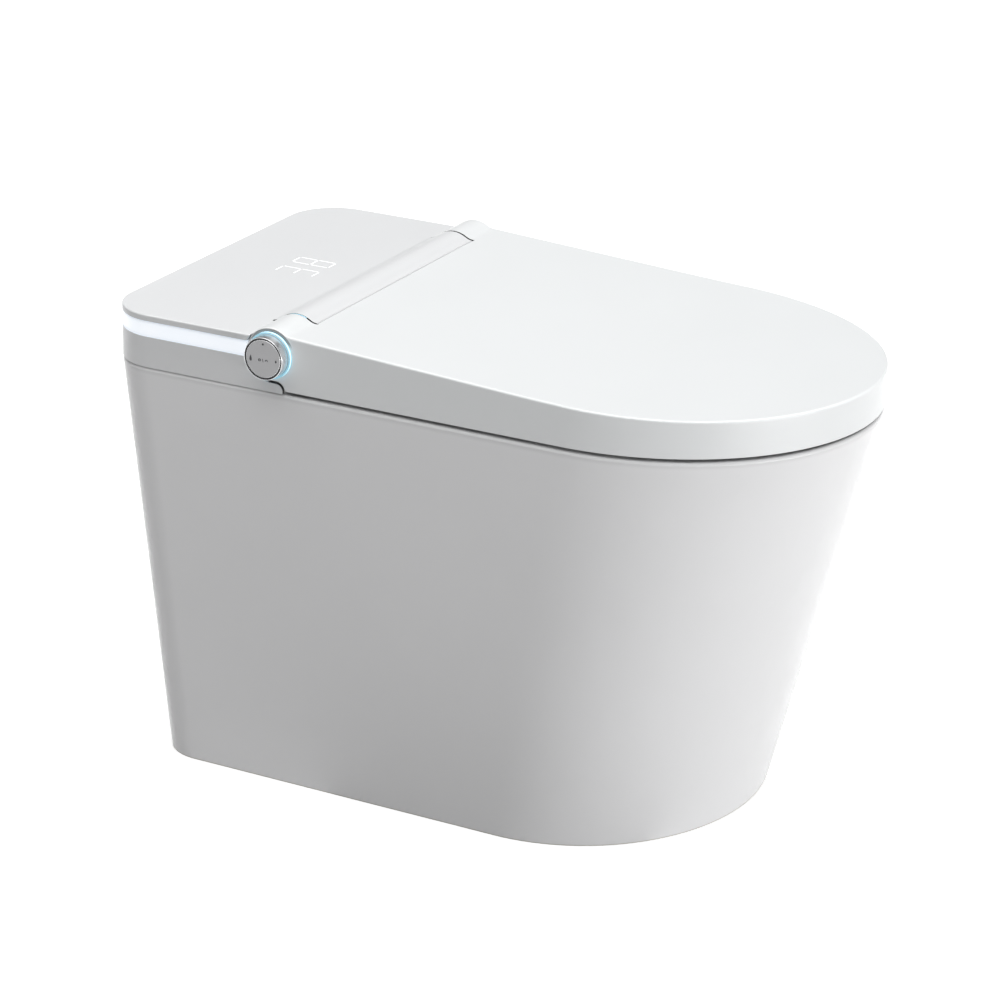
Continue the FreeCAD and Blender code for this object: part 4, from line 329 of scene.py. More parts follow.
def moulded_gloss(name, colour, roughness, slot=None):
    """Injection-moulded gloss plastic with a faint orange-peel skin, with painted shade in the hinge's slots
    and gaps.
    """
    s = Shader(name)
    cloud = s.noise(11.0, 3.0)
    peel = s.noise(520.0, 1.0)
    tone = s.blend(shade(colour, 0.985), colour, cloud)
    if slot:
        tone = hinge_shadows(s, tone, colour, slot)
    surface = s.bump(peel, 0.10, 0.05 * MM)
    return s.finish(base_color=tone, roughness=roughness + cloud * 0.06, normal=surface,
                    coat_weight=0.25, coat_roughness=0.12, ior=1.49)


def moulded_matt(name, colour, roughness):
    """Works plastic with the fine spark-eroded grain of its mould."""
    s = Shader(name)
    cloud = s.noise(24.0, 3.0)
    grain = s.noise(1500.0, 2.0)
    tone = s.blend(shade(colour, 0.9), colour, cloud)
    return s.finish(base_color=tone, roughness=roughness + grain * 0.12,
                    normal=s.bump(grain, 0.25, 0.05 * MM))


def rubber(name, colour):
    s = Shader(name)
    bloom = s.noise(60.0, 4.0)
    grain = s.noise(2400.0, 2.0)
    tone = s.blend(shade(colour, 0.85), colour, bloom)
    return s.finish(base_color=tone, roughness=0.62 + bloom * 0.15,
                    normal=s.bump(grain, 0.3, 0.04 * MM), specular_ior_level=0.35)


def light_guide(name, colour, strength, axis, low, high, heart=0.5, low_end=1.0):
    """Translucent strip lit from inside, brightest in its middle: heart whitens it, low_end dims one end."""
    s = Shader(name)
    end_fade = 0.4 * MM
    middle, reach = (low + high) / 2, (high - low) / 2
    off_centre = (s.along(axis) - middle).math("ABSOLUTE") / reach
    spots = s.noise(45.0, 1.0)
    edge = s.step(off_centre, 0.55, 1.0)
    glow = s.blend(colour, (1.0, 1.0, 1.0), (spots * 0.6 + 0.7) * heart)
    glow = s.blend(glow, shade(colour, 0.82), edge)
    if low_end < 1.0:
        glow = s.blend(shade(colour, low_end), glow, s.step(s.along(axis), low, low + end_fade))
    unlit = s.blend((0.42, 0.43, 0.45), (0.5, 0.51, 0.53), edge)
    return s.finish(base_color=unlit, roughness=0.3 + edge * 0.1,
                    emission_color=glow, emission_strength=strength)


def chrome(name, roughness):
    s = Shader(name)
    haze = s.noise(70.0, 3.0)
    return s.finish(base_color=s.blend((0.80, 0.81, 0.83), (0.86, 0.87, 0.88), haze), metallic=1.0,
                    roughness=roughness + haze * 0.07)


def turned_satin(name, colour, centre):
    """Satin metal turned about the hinge line: fine rings round its centre."""
    s = Shader(name)
    radius = s.from_line(centre)[2]
    rings = s.node("ShaderNodeTexNoise", {"noise_dimensions": "1D"}, {
        "W": radius, "Scale": 5200.0, "Detail": 3.0})
    cloud = s.noise(160.0, 2.0)
    tone = s.blend(shade(colour, 0.93), shade(colour, 1.06), rings * 0.6 + cloud * 0.4)
    return s.finish(base_color=tone, metallic=0.85, roughness=0.36 + rings * 0.1,
                    normal=s.bump(rings, 0.12, 0.03 * MM))


def drawn_metal(name, colour, scale, roughness):
    """Metal with lines drawn along one axis: the small number in scale gives that axis."""
    s = Shader(name)
    lines = s.noise(1.0, 3.0, s.stretched(scale))
    tone = s.blend(shade(colour, 0.86), colour, lines)
    return s.finish(base_color=tone, metallic=1.0, roughness=roughness + lines * 0.14,
                    normal=s.bump(lines, 0.15, 0.03 * MM))


def circuit_board(name, colour):
    s = Shader(name)
    tracks = s.node("ShaderNodeTexBrick", {"offset": 0.5}, {
        "Vector": s.place(), "Scale": 160.0, "Mortar Size": 0.03, "Color1": (0.0, 0.0, 0.0),
        "Color2": (0.2, 0.2, 0.2), "Mortar": (1.0, 1.0, 1.0)}, "Fac")
    tone = s.blend(colour, shade(colour, 1.6), tracks)
    return s.finish(base_color=tone, roughness=0.4 + tracks * 0.15)


def floor_paint():
    s = Shader("Floor paint")
    cloud = s.noise(1.5, 2.0)
    return s.finish(base_color=s.blend((0.86, 0.86, 0.86), (0.88, 0.88, 0.88), cloud), roughness=0.9,
                    specular_ior_level=0.0, emission_color=(1.0, 1.0, 1.0), emission_strength=0.28)


# Meshes

def linked(name, mesh):
    piece = bpy.data.objects.new(name, mesh)
    bpy.context.scene.collection.objects.link(piece)
    return piece


def baked(piece):
    """Applies a piece's modifiers to its mesh."""
    graph = bpy.context.evaluated_depsgraph_get()
    mesh = bpy.data.meshes.new_from_object(piece.evaluated_get(graph))
    piece.modifiers.clear()
    piece.data = mesh
    return piece


def tidy_normals(work):
    bmesh.ops.remove_doubles(work, verts=work.verts, dist=MERGE_GAP)
    bmesh.ops.recalc_face_normals(work, faces=work.faces)


def creased(work, angle):
    for face in work.faces:
        face.smooth = True
    for edge in work.edges:
        edge.smooth = edge.calc_face_angle(math.pi) < angle


def weighted(piece):
    even = piece.modifiers.new("Even shading", "WEIGHTED_NORMAL")
    even.keep_sharp = True
    return baked(piece)


def from_node(node, material, bevel=0.0):
    """Piece with a node's own shape, its facets joined and shaded smooth, in place of the node."""
    detail = bpy.context.scene.toilet_detail
    work = bmesh.new()
    work.from_mesh(frame["nodes"][node].data)
    bmesh.ops.remove_doubles(work, verts=work.verts, dist=MERGE_GAP)
    if bevel:
        flat = math.radians(0.5)
        bmesh.ops.dissolve_limit(work, angle_limit=flat, verts=work.verts, edges=work.edges)
    creased(work, detail.crease)
    mesh = bpy.data.meshes.new(node + "_skin")
    work.to_mesh(mesh)
    work.free()
    mesh.materials.clear()
    mesh.materials.append(material)
    piece = linked(node + "_skin", mesh)
    if bevel:
        edge = piece.modifiers.new("Edge", "BEVEL")
        edge.width = bevel
        edge.segments = 2
        edge.limit_method = "ANGLE"
        edge.angle_limit = detail.crease
        edge.harden_normals = False
        edge.use_clamp_overlap = True
    weighted(piece)
    return settled(piece, node)


def settled(piece, *nodes):
    """The piece rides with the first node's body and stands for these nodes, which are hidden."""
    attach(piece, BODY_OF[nodes[0]])
    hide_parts(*nodes)
    return piece


def added(piece, node):
    """The piece is a detail on this node's body."""
    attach(piece, BODY_OF[node])
    return piece


def painted(node, material):
    piece = frame["nodes"][node]
    for place in piece.material_slots:
        place.material = material


def mesh_piece(name, work, material, angle):
    tidy_normals(work)
    creased(work, angle)
    mesh = bpy.data.meshes.new(name)
    work.to_mesh(mesh)
    work.free()
    mesh.materials.append(material)
    return linked(name, mesh)


def bridged(work, rings):
    """Joins each ring of points to the next with faces; a ring of one point closes the end."""
    for low, high in zip(rings, rings[1:]):
        count = max(len(low), len(high))
        for step in range(count):
            after = (step + 1) % count
            corners = [low[step % len(low)], low[after % len(low)],
                       high[after % len(high)], high[step % len(high)]]
            corners = list(dict.fromkeys(corners))
            if len(corners) > 2:
                work.faces.new(corners)


def turned(work, profile, origin, axis, around, count):
    """Turns a profile of (distance along axis, radius) round an axis through origin."""
    rings = []
    side = axis.cross(around)
    for along, radius in profile:
        centre = origin + axis * along
        if radius == 0.0:
            rings.append([work.verts.new(centre)])
            continue
        ring = []
        for step in range(count):
            angle = 2 * math.pi * step / count
            spoke = around * math.cos(angle) + side * math.sin(angle)
            ring.append(work.verts.new(centre + spoke * radius))
        rings.append(ring)
    bridged(work, rings)


def raised(work, outline, back, out):
    """Flat mark: an outline pushed out by a vector, with its sides and back closed."""
    base = [work.verts.new(point + back) for point in outline]
    top = [work.verts.new(point + out) for point in outline]
    work.faces.new(top)
    work.faces.new(list(reversed(base)))
    for step in range(len(base)):
        after = (step + 1) % len(base)
        work.faces.new([base[step], base[after], top[after], top[step]])


# Geometry Nodes for what repeats

def node_group(name, inputs):
    group = bpy.data.node_groups.new(name, "GeometryNodeTree")
    group.interface.new_socket("Geometry", in_out="INPUT", socket_type="NodeSocketGeometry")
    group.interface.new_socket("Geometry", in_out="OUTPUT", socket_type="NodeSocketGeometry")
    for label, kind in inputs:
        group.interface.new_socket(label, in_out="INPUT", socket_type=kind)
    return group


def tree_node(group, kind, settings=None, **links):
    made = group.nodes.new(kind)
    for name, setting in (settings or {}).items():
        setattr(made, name, setting)
    for key, value in links.items():
        socket = made.inputs[key.replace("_", " ")]
        if isinstance(value, bpy.types.NodeSocket):
            group.links.new(value, socket)
        else:
            socket.default_value = value
    return made


def row_tree():
    """Copies of the piece's own mesh in a row, or turned round an axis through the origin."""
    group = node_group("Copies in a row", [
        ("Count", "NodeSocketInt"), ("Step", "NodeSocketVector"), ("Turn", "NodeSocketVector"),
        ("Material", "NodeSocketMaterial")])
    given = tree_node(group, "NodeGroupInput").outputs
    line = tree_node(group, "GeometryNodeMeshLine", {"mode": "OFFSET"},
                     Count=given["Count"], Offset=given["Step"])
    index = tree_node(group, "GeometryNodeInputIndex").outputs[0]
    turn = tree_node(group, "ShaderNodeVectorMath", {"operation": "SCALE"}, Scale=index)
    group.links.new(given["Turn"], turn.inputs[0])
    spin = tree_node(group, "FunctionNodeEulerToRotation", Euler=turn.outputs[0])
    copies = tree_node(group, "GeometryNodeInstanceOnPoints", Points=line.outputs["Mesh"],
                       Instance=given["Geometry"], Rotation=spin.outputs[0])
    real = tree_node(group, "GeometryNodeRealizeInstances", Geometry=copies.outputs[0])
    done = tree_node(group, "GeometryNodeSetMaterial", Geometry=real.outputs[0], Material=given["Material"])
    tree_node(group, "NodeGroupOutput", Geometry=done.outputs[0])
    return group


def in_a_row(piece, material, count, step, turn=(0.0, 0.0, 0.0)):
    """Repeats a piece's mesh, made about the origin, with the row tree."""
    group = bpy.data.node_groups.get("Copies in a row") or row_tree()
    repeat = piece.modifiers.new("Copies", "NODES")
    repeat.node_group = group
    names = {item.name: item.identifier for item in group.interface.items_tree if item.in_out == "INPUT"}
    repeat[names["Count"]] = count
    repeat[names["Step"]] = step
    repeat[names["Turn"]] = turn
    repeat[names["Material"]] = material
    return baked(piece)


def moved(piece, offset):
    piece.data.transform(Matrix.Translation(offset))
    piece.data.update()
    return piece


def rounded_bar(name, half, material, crease):
    """Small bar about the origin with its edges rounded."""
    work = bmesh.new()
    bmesh.ops.create_cube(work, size=2.0)
    bmesh.ops.scale(work, vec=half, verts=work.verts)
    bmesh.ops.bevel(work, geom=work.edges[:], offset=min(half) * 0.6, segments=2,
                    affect="EDGES", profile=0.6)
    return mesh_piece(name, work, material, crease)


def corners_of(node):
    return [Vector(corner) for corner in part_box(node)]


def centre_of(node):
    low, high = corners_of(node)
    return (low + high) / 2


def hinge_slot(detail):
    """Distances of the hinge slots' two sides from the middle, and the hinge's centre."""
    return detail.slot_inside, detail.slot_outside, centre_of("knob_button")


# Operators

class TOILET_OT_china(bpy.types.Operator):
    """Glazes the china body"""
    bl_idname = "toilet.china"
    bl_label = "China body"

    def execute(self, context):
        from_node("ceramic_body", glazed_china(tuple(context.scene.toilet_finish.china)))
        return {"FINISHED"}


class TOILET_OT_lid(bpy.types.Operator):
    """Finishes the lid, its hinge cap and its rubber pads"""
    bl_idname = "toilet.lid"
    bl_label = "Lid"

    def execute(self, context):
        colour = tuple(context.scene.toilet_finish.lid)
        from_node("lid", moulded_gloss("Lid gloss", colour, 0.26, hinge_slot(context.scene.toilet_detail)))
        from_node("hinge_cap", moulded_gloss("Cap gloss", colour, 0.26), bevel=0.3 * MM)
        painted("lid_bush", moulded_matt("Bush plastic", BUSH_WHITE, 0.45))
        painted("lid_shaft", drawn_metal("Shaft steel", (0.55, 0.55, 0.56), (20.0, 900.0, 900.0), 0.25))
        from_node("lid_buffers", rubber("Lid pad rubber", (0.70, 0.70, 0.69)), bevel=1.2 * MM)
        return {"FINISHED"}


class TOILET_OT_seat(bpy.types.Operator):
    """Finishes the heated seat, its rubber pads, its bushes and its heater"""
    bl_idname = "toilet.seat"
    bl_label = "Seat"

    def execute(self, context):
        skin = moulded_gloss("Seat gloss", tuple(context.scene.toilet_finish.seat), 0.22)
        from_node("seat_top", skin)
        from_node("seat_base", skin)
        from_node("seat_buffers", rubber("Seat pad rubber", (0.66, 0.66, 0.65)), bevel=1.2 * MM)
        bush = moulded_matt("Seat bush plastic", BUSH_WHITE, 0.45)
        for node in ("seat_bushes", "damper_sleeve"):
            painted(node, bush)
        painted("seat_heater", drawn_metal("Heater foil", FOIL_GREY, (300.0, 12.0, 300.0), 0.3))
        return {"FINISHED"}


class TOILET_OT_housing(bpy.types.Operator):
    """Finishes the cover and the skirt of the seat unit"""
    bl_idname = "toilet.housing"
    bl_label = "Seat unit housing"

    def execute(self, context):
        colour = tuple(context.scene.toilet_finish.housing)
        slot = hinge_slot(context.scene.toilet_detail)
        from_node("top_cover", moulded_gloss("Cover gloss", colour, 0.3, slot))
        from_node("chassis", moulded_gloss("Housing gloss", colour, 0.3, slot))
        return {"FINISHED"}


class TOILET_OT_lights(bpy.types.Operator):
    """Lights the band, the ring behind the knob, the number display and the near hinge slot"""
    bl_idname = "toilet.lights"
    bl_label = "Lights"

    def execute(self, context):
        finish = context.scene.toilet_finish
        for node, label, colour, strength, axis, low_end in (
                ("light_band", "Band glow", finish.band, finish.band_glow, 2, 1.0),
                ("knob_light_ring", "Ring glow", finish.ring, finish.ring_glow, 0, 0.35),
                ("display_segments", "Digit glow", finish.digit, finish.digit_glow, 1, 1.0)):
            low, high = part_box(node)
            glow = light_guide(label, tuple(colour), strength, "XYZ"[axis], low[axis], high[axis],
                               low_end=low_end)
            from_node(node, glow)
        board = circuit_board("Board", BOARD_GREEN)
        for node in ("led_strip", "display_board"):
            painted(node, board)
        self.make_slot_light(context.scene.toilet_detail, finish)
        return {"FINISHED"}

    def make_slot_light(self, detail, finish):
        """Arc of the knob's light that shows in the slot between the lid's near knuckle and the cover."""
        hinge = centre_of("knob_button")
        width = detail.slot_width
        slot = -(detail.slot_inside + detail.slot_outside + width) / 2
        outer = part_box("lid")[1][2] - hinge.z - detail.slot_depth
        section = ((0.0, outer), (width, outer), (width, outer - width), (0.0, outer - width))
        front_angle, arc_angle = 67, 42
        work = bmesh.new()
        rings = []
        for step in range(detail.slot_steps + 1):
            angle = math.radians(front_angle + arc_angle * step / detail.slot_steps)
            ring = []
            for across, radius in section:
                ring.append(work.verts.new((slot + across, hinge.y - radius * math.cos(angle),
                                            hinge.z + radius * math.sin(angle))))
            rings.append(ring)
        bridged(work, rings)
        work.faces.new(list(reversed(rings[0])))
        work.faces.new(rings[-1])
        glow = light_guide("Slot glow", tuple(finish.ring), finish.slot_glow, "X", slot, slot + width,
                           heart=0.05)
        added(mesh_piece("hinge_slot_light", work, glow, detail.crease), "top_cover")


class TOILET_OT_knob(bpy.types.Operator):
    """Makes the knob: its dial ring, its face with a bevel and small marks, its groove and its base"""
    bl_idname = "toilet.knob"
    bl_label = "Knob"

    def execute(self, context):
        detail = context.scene.toilet_detail
        axis, around = Vector((1.0, 0.0, 0.0)), Vector((0.0, 1.0, 0.0))
        centre = centre_of("knob_button")
        colour = tuple(context.scene.toilet_finish.knob)
        self.make_ring(detail, axis, around, centre)
        self.make_face(detail, axis, around, centre, colour)
        self.make_marks(detail, centre)
        self.make_groove(detail, axis, around, centre)
        from_node("knob_base", moulded_matt("Knob base plastic", (0.45, 0.48, 0.50), 0.4), bevel=0.2 * MM)
        return {"FINISHED"}

    def make_ring(self, detail, axis, around, centre):
        low, high = corners_of("knob_ring")
        button = Vector(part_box("knob_button")[1]) - centre
        radius = (high.y - low.y) / 2
        length = high.x - low.x
        bore = button.y + detail.face_spread + detail.groove
        lip, wall, chamfer = 0.4 * MM, 0.35 * MM, 0.1 * MM
        lip_steps = 6
        inner = bore + wall
        liner_end = length * 0.6
        profile = []
        for step in reversed(range(lip_steps + 1)):
            angle = math.radians(90) * step / lip_steps
            profile.append((lip * (1 - math.sin(angle)), inner + (radius - inner) * math.cos(angle)))
        profile += [(length - chamfer, radius), (length, radius - chamfer), (length, inner),
                    (liner_end, inner), (liner_end, bore), (0.3 * MM, bore),
                    (0.08 * MM, bore + 0.1 * MM), (0.0, bore + 0.25 * MM), profile[0]]
        work = bmesh.new()
        turned(work, profile, Vector((low.x, centre.y, centre.z)), axis, around, EDGE_SIDES)
        ring = mesh_piece("knob_dial_ring", work, chrome("Dial chrome", 0.24), detail.crease)
        settled(weighted(ring), "knob_ring")

    def make_face(self, detail, axis, around, centre, colour):
        low, high = corners_of("knob_button")
        radius = (high.y - low.y) / 2 + detail.face_spread
        origin = Vector((low.x, centre.y, centre.z))
        sink = detail.face_sink
        rim, stem, back = 0.7 * MM, 4.3 * MM, 2.6 * MM
        bevel_top = sink * 0.7
        profile = [(sink, 0.0), (sink, radius * 0.5), (sink, radius - rim), (back, radius - rim),
                   (back, stem), (high.x - low.x, stem), (high.x - low.x, 0.0)]
        work = bmesh.new()
        turned(work, profile, origin, axis, around, FACE_SIDES)
        face = turned_satin("Knob satin", colour, centre)
        settled(weighted(mesh_piece("knob_face", work, face, detail.crease)), "knob_button")
        profile = [(bevel_top, radius - rim), (bevel_top, radius - rim * 0.8), (sink + rim * 0.7, radius),
                   (back, radius), (back, radius - rim), (bevel_top, radius - rim)]
        work = bmesh.new()
        turned(work, profile, origin, axis, around, EDGE_SIDES)
        bevel = mesh_piece("knob_bevel", work, chrome("Bevel chrome", 0.2), detail.crease)
        added(weighted(bevel), "knob_button")

    def make_groove(self, detail, axis, around, centre):
        """Near-black ring in the shallow groove between the face and the ring, set there as painted shade in
        place of the groove's shadow.
        """
        low, high = corners_of("knob_button")
        gap, top, bottom = 0.05 * MM, 0.12 * MM, 1.5 * MM
        inner = (high.y - low.y) / 2 + detail.face_spread + gap
        outer = inner + detail.groove - 2 * gap
        work = bmesh.new()
        turned(work, [(top, inner), (top, outer), (bottom, outer), (bottom, inner), (top, inner)],
               Vector((low.x, centre.y, centre.z)), axis, around, FACE_SIDES)
        # Near-black colour: painted shade of the groove.
        groove_shade = moulded_matt("Groove black", (0.012, 0.012, 0.013), 0.6)
        added(mesh_piece("knob_groove", work, groove_shade, detail.crease), "knob_ring")

    def make_marks(self, detail, centre):
        """A dot above, a drop behind, a leaf in front, and a ring, a stroke and an arc in the middle."""
        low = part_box("knob_button")[0]
        back = Vector((0.3 * MM, 0.0, 0.0))
        out = Vector((-detail.mark_height, 0.0, 0.0))
        face = low[0] + detail.face_sink
        work = bmesh.new()

        # A mark's place from the knob's centre and its scale are in millimetres.
        def mark(points, y, z, scale):
            outline = [Vector((face, centre.y + (y + a * scale) * MM, centre.z + (z + b * scale) * MM))
                       for a, b in points]
            raised(work, outline, back, out)

        def circle(radius, count):
            angles = [2 * math.pi * step / count for step in range(count)]
            return [(radius * math.cos(angle), radius * math.sin(angle)) for angle in angles]

        def arc(outer, inner, degrees):
            angles = [math.radians(degrees) * (step / CURVE_STEPS - 0.5) + math.pi / 2
                      for step in range(CURVE_STEPS + 1)]
            rim = [(outer * math.cos(angle), outer * math.sin(angle)) for angle in angles]
            return rim + [(inner * math.cos(angle), inner * math.sin(angle)) for angle in reversed(angles)]

        drop = []
        for step in range(CURVE_STEPS):
            angle = 2 * math.pi * step / CURVE_STEPS
            taper = math.sin(angle / 2) ** 1.5
            drop.append((0.55 * math.sin(angle) * taper, math.cos(angle)))
        leaf = [(0.0, 1.0), (0.55, 0.3), (0.6, -0.35), (0.0, -1.0), (-0.6, -0.35), (-0.55, 0.3)]
        stroke = [(-0.16, -1.0), (0.16, -1.0), (0.66, 1.0), (0.34, 1.0)]
        mark(circle(1.0, 20), 0.2, 14.0, 1.0)
        mark(drop, 13.4, -1.0, 3.0)
        mark(leaf, -13.5, -0.6, 1.5)
        mark(arc(1.0, 0.5, 340), 3.9, -1.6, 1.4)
        mark(stroke, 0.0, -1.6, 1.6)
        mark(arc(1.0, 0.5, 230), -3.4, -1.6, 1.4)
        ink = moulded_matt("Knob mark ink", (0.035, 0.035, 0.04), 0.5)
        added(mesh_piece("knob_marks", work, ink, detail.crease), "knob_button")


class TOILET_OT_nozzles(bpy.types.Operator):
    """Finishes the two nozzles, their guide, the dryer and the air intake"""
    bl_idname = "toilet.nozzles"
    bl_label = "Nozzles and air"

    def execute(self, context):
        detail = context.scene.toilet_detail
        tube = drawn_metal("Nozzle steel", (0.64, 0.64, 0.65), (900.0, 30.0, 900.0), 0.22)
        for node in ("wash_wand", "bidet_wand"):
            from_node(node, tube)
        works = moulded_matt("Works plastic", PIPE_GREY, 0.45)
        for node in ("nozzle_housing", "dryer_housing", "deodoriser_housing"):
            from_node(node, works)
        from_node("dryer_flap", works, bevel=0.3 * MM)
        self.make_grille(detail, works)
        gear = moulded_matt("Gear plastic", (0.74, 0.74, 0.70), 0.4)
        for node in ("wash_pinion", "bidet_pinion"):
            painted(node, gear)
        return {"FINISHED"}

    def make_grille(self, detail, works):
        """Upright slats across the mouth of the deodoriser's intake."""
        low = corners_of("deodoriser_housing")[0]
        mouth_x, mouth_w, mouth_h = -60.0 * MM, 30.4 * MM, 11.0 * MM
        set_back, mouth_up = 2.4 * MM, 8.2 * MM
        half_slat = (0.5 * MM, 1.4 * MM, mouth_h / 2)
        step = mouth_w / (detail.slat_count + 1)
        slat = rounded_bar("intake_grille", half_slat, works, detail.crease)
        in_a_row(slat, works, detail.slat_count, (step, 0.0, 0.0))
        first = mouth_x - mouth_w / 2 + step
        moved(slat, Vector((first, low.y + set_back, low.z + mouth_up)))
        added(slat, "deodoriser_housing")


class TOILET_OT_connections(bpy.types.Operator):
    """Makes the water inlet with its thread, its nut and the cable gland, and the floor connection"""
    bl_idname = "toilet.connections"
    bl_label = "Connections"

    def execute(self, context):
        detail = context.scene.toilet_detail
        brass = drawn_metal("Fitting brass", (0.66, 0.50, 0.24), (700.0, 60.0, 700.0), 0.22)
        self.make_inlet(detail, brass)
        from_node("inlet_lock_nut", brass, bevel=0.5 * MM)
        dark = rubber("Gland rubber", (0.045, 0.045, 0.047))
        from_node("power_gland", dark, bevel=0.6 * MM)
        self.make_grips(detail, dark)
        from_node("floor_seal", rubber("Seal rubber", (0.05, 0.05, 0.05)), bevel=1.5 * MM)
        outlet = moulded_matt("Outlet plastic", PIPE_GREY, 0.45)
        from_node("outlet_connector", outlet, bevel=0.6 * MM)
        return {"FINISHED"}

    def make_inlet(self, detail, brass):
        """Brass tail with a helical thread on its free end."""
        low, high = corners_of("inlet_fitting")
        centre = (low + high) / 2
        nut_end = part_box("inlet_lock_nut")[1][1]
        shank, stub, bore = (high.x - low.x) / 2, 10.48 * MM, 7.0 * MM
        axis, around = Vector((0.0, 1.0, 0.0)), Vector((1.0, 0.0, 0.0))
        side = axis.cross(around)
        origin = Vector((centre.x, low.y, centre.z))
        length, step_at = high.y - low.y, nut_end - low.y
        work = bmesh.new()
        lead, lead_depth, mouth, chamfer = 0.8 * MM, 1.6 * MM, 0.6 * MM, 0.4 * MM
        rows_per_turn, fade_rows, crest_share = 8, 4, 1.35
        end = length - lead
        root = stub - detail.thread_depth
        profile = [(end, root), (length, stub - lead_depth), (length, bore + mouth), (length - mouth, bore),
                   (0.0, bore), (0.0, shank - chamfer), (chamfer, shank), (step_at, shank), (step_at, root)]
        turned(work, profile, origin, axis, around, TAIL_SIDES)
        rows = int((end - step_at) / detail.thread_pitch * rows_per_turn)
        rings = []
        for row in range(rows + 1):
            along = step_at + (end - step_at) * row / rows
            fade = min(1.0, row / fade_rows, (rows - row) / fade_rows)
            ring = []
            for part in range(TAIL_SIDES):
                angle = 2 * math.pi * part / TAIL_SIDES
                phase = ((along - step_at) / detail.thread_pitch - part / TAIL_SIDES) % 1.0
                crest = min(1.0, crest_share * (1.0 - abs(2 * phase - 1.0)))
                radius = stub - detail.thread_depth * (1.0 - crest * fade)
                spoke = around * math.cos(angle) + side * math.sin(angle)
                ring.append(work.verts.new(origin + axis * along + spoke * radius))
            rings.append(ring)
        bridged(work, rings)
        thread_crease = math.radians(50)
        piece = mesh_piece("inlet_tail", work, brass, thread_crease)
        settled(weighted(piece), "inlet_fitting")

    def make_grips(self, detail, dark):
        """Grip ribs round the gland's flange."""
        low, high = corners_of("power_gland")
        centre = (low + high) / 2
        flange = (high.x - low.x) / 2
        half_rib = (0.5 * MM, 1.9 * MM, 0.9 * MM)
        sunk, set_back = 0.95 * MM, 12.0 * MM
        turn = 2 * math.pi / detail.grip_count
        rib = rounded_bar("gland_grips", half_rib, dark, detail.crease)
        moved(rib, Vector((0.0, 0.0, flange - sunk)))
        in_a_row(rib, dark, detail.grip_count, (0.0, 0.0, 0.0), (0.0, turn, 0.0))
        moved(rib, Vector((centre.x, high.y - set_back, centre.z)))
        added(rib, "power_gland")


class TOILET_OT_works(bpy.types.Operator):
    """Finishes the works inside the seat unit and the rear chamber"""
    bl_idname = "toilet.works"
    bl_label = "Works"

    def execute(self, context):
        black = moulded_matt("Motor black", (0.03, 0.03, 0.033), 0.4)
        grey = moulded_matt("Works grey", (0.60, 0.61, 0.62), 0.5)
        tank = moulded_matt("Tank plastic", (0.50, 0.58, 0.66), 0.4)
        steel = drawn_metal("Works steel", (0.58, 0.58, 0.59), (900.0, 900.0, 40.0), 0.25)
        hose = rubber("Hose rubber", (0.05, 0.05, 0.052))
        fins = drawn_metal("Heater fins", FOIL_GREY, (30.0, 600.0, 600.0), 0.3)
        board = circuit_board("Control board", BOARD_GREEN)
        groups = (
            (black, ("seat_damper", "lid_damper", "nozzle_motors", "fan_motors", "pump_motor", "push_switch",
                     "control_case", "carbon_filter")),
            (grey, ("rim_spout", "dryer_impeller", "deodoriser_impeller")),
            (tank, ("flush_tank", "valve_block", "flush_pump", "water_heater")),
            (steel, ("hinge_tube", "cover_screws", "mounting_bolts", "mounting_nuts")),
            (hose, ("flush_hose", "feed_hose", "wash_hose")),
            (fins, ("dryer_heater",)),
            (board, ("control_board",)),
        )
        for material, nodes in groups:
            for node in nodes:
                painted(node, material)
        return {"FINISHED"}


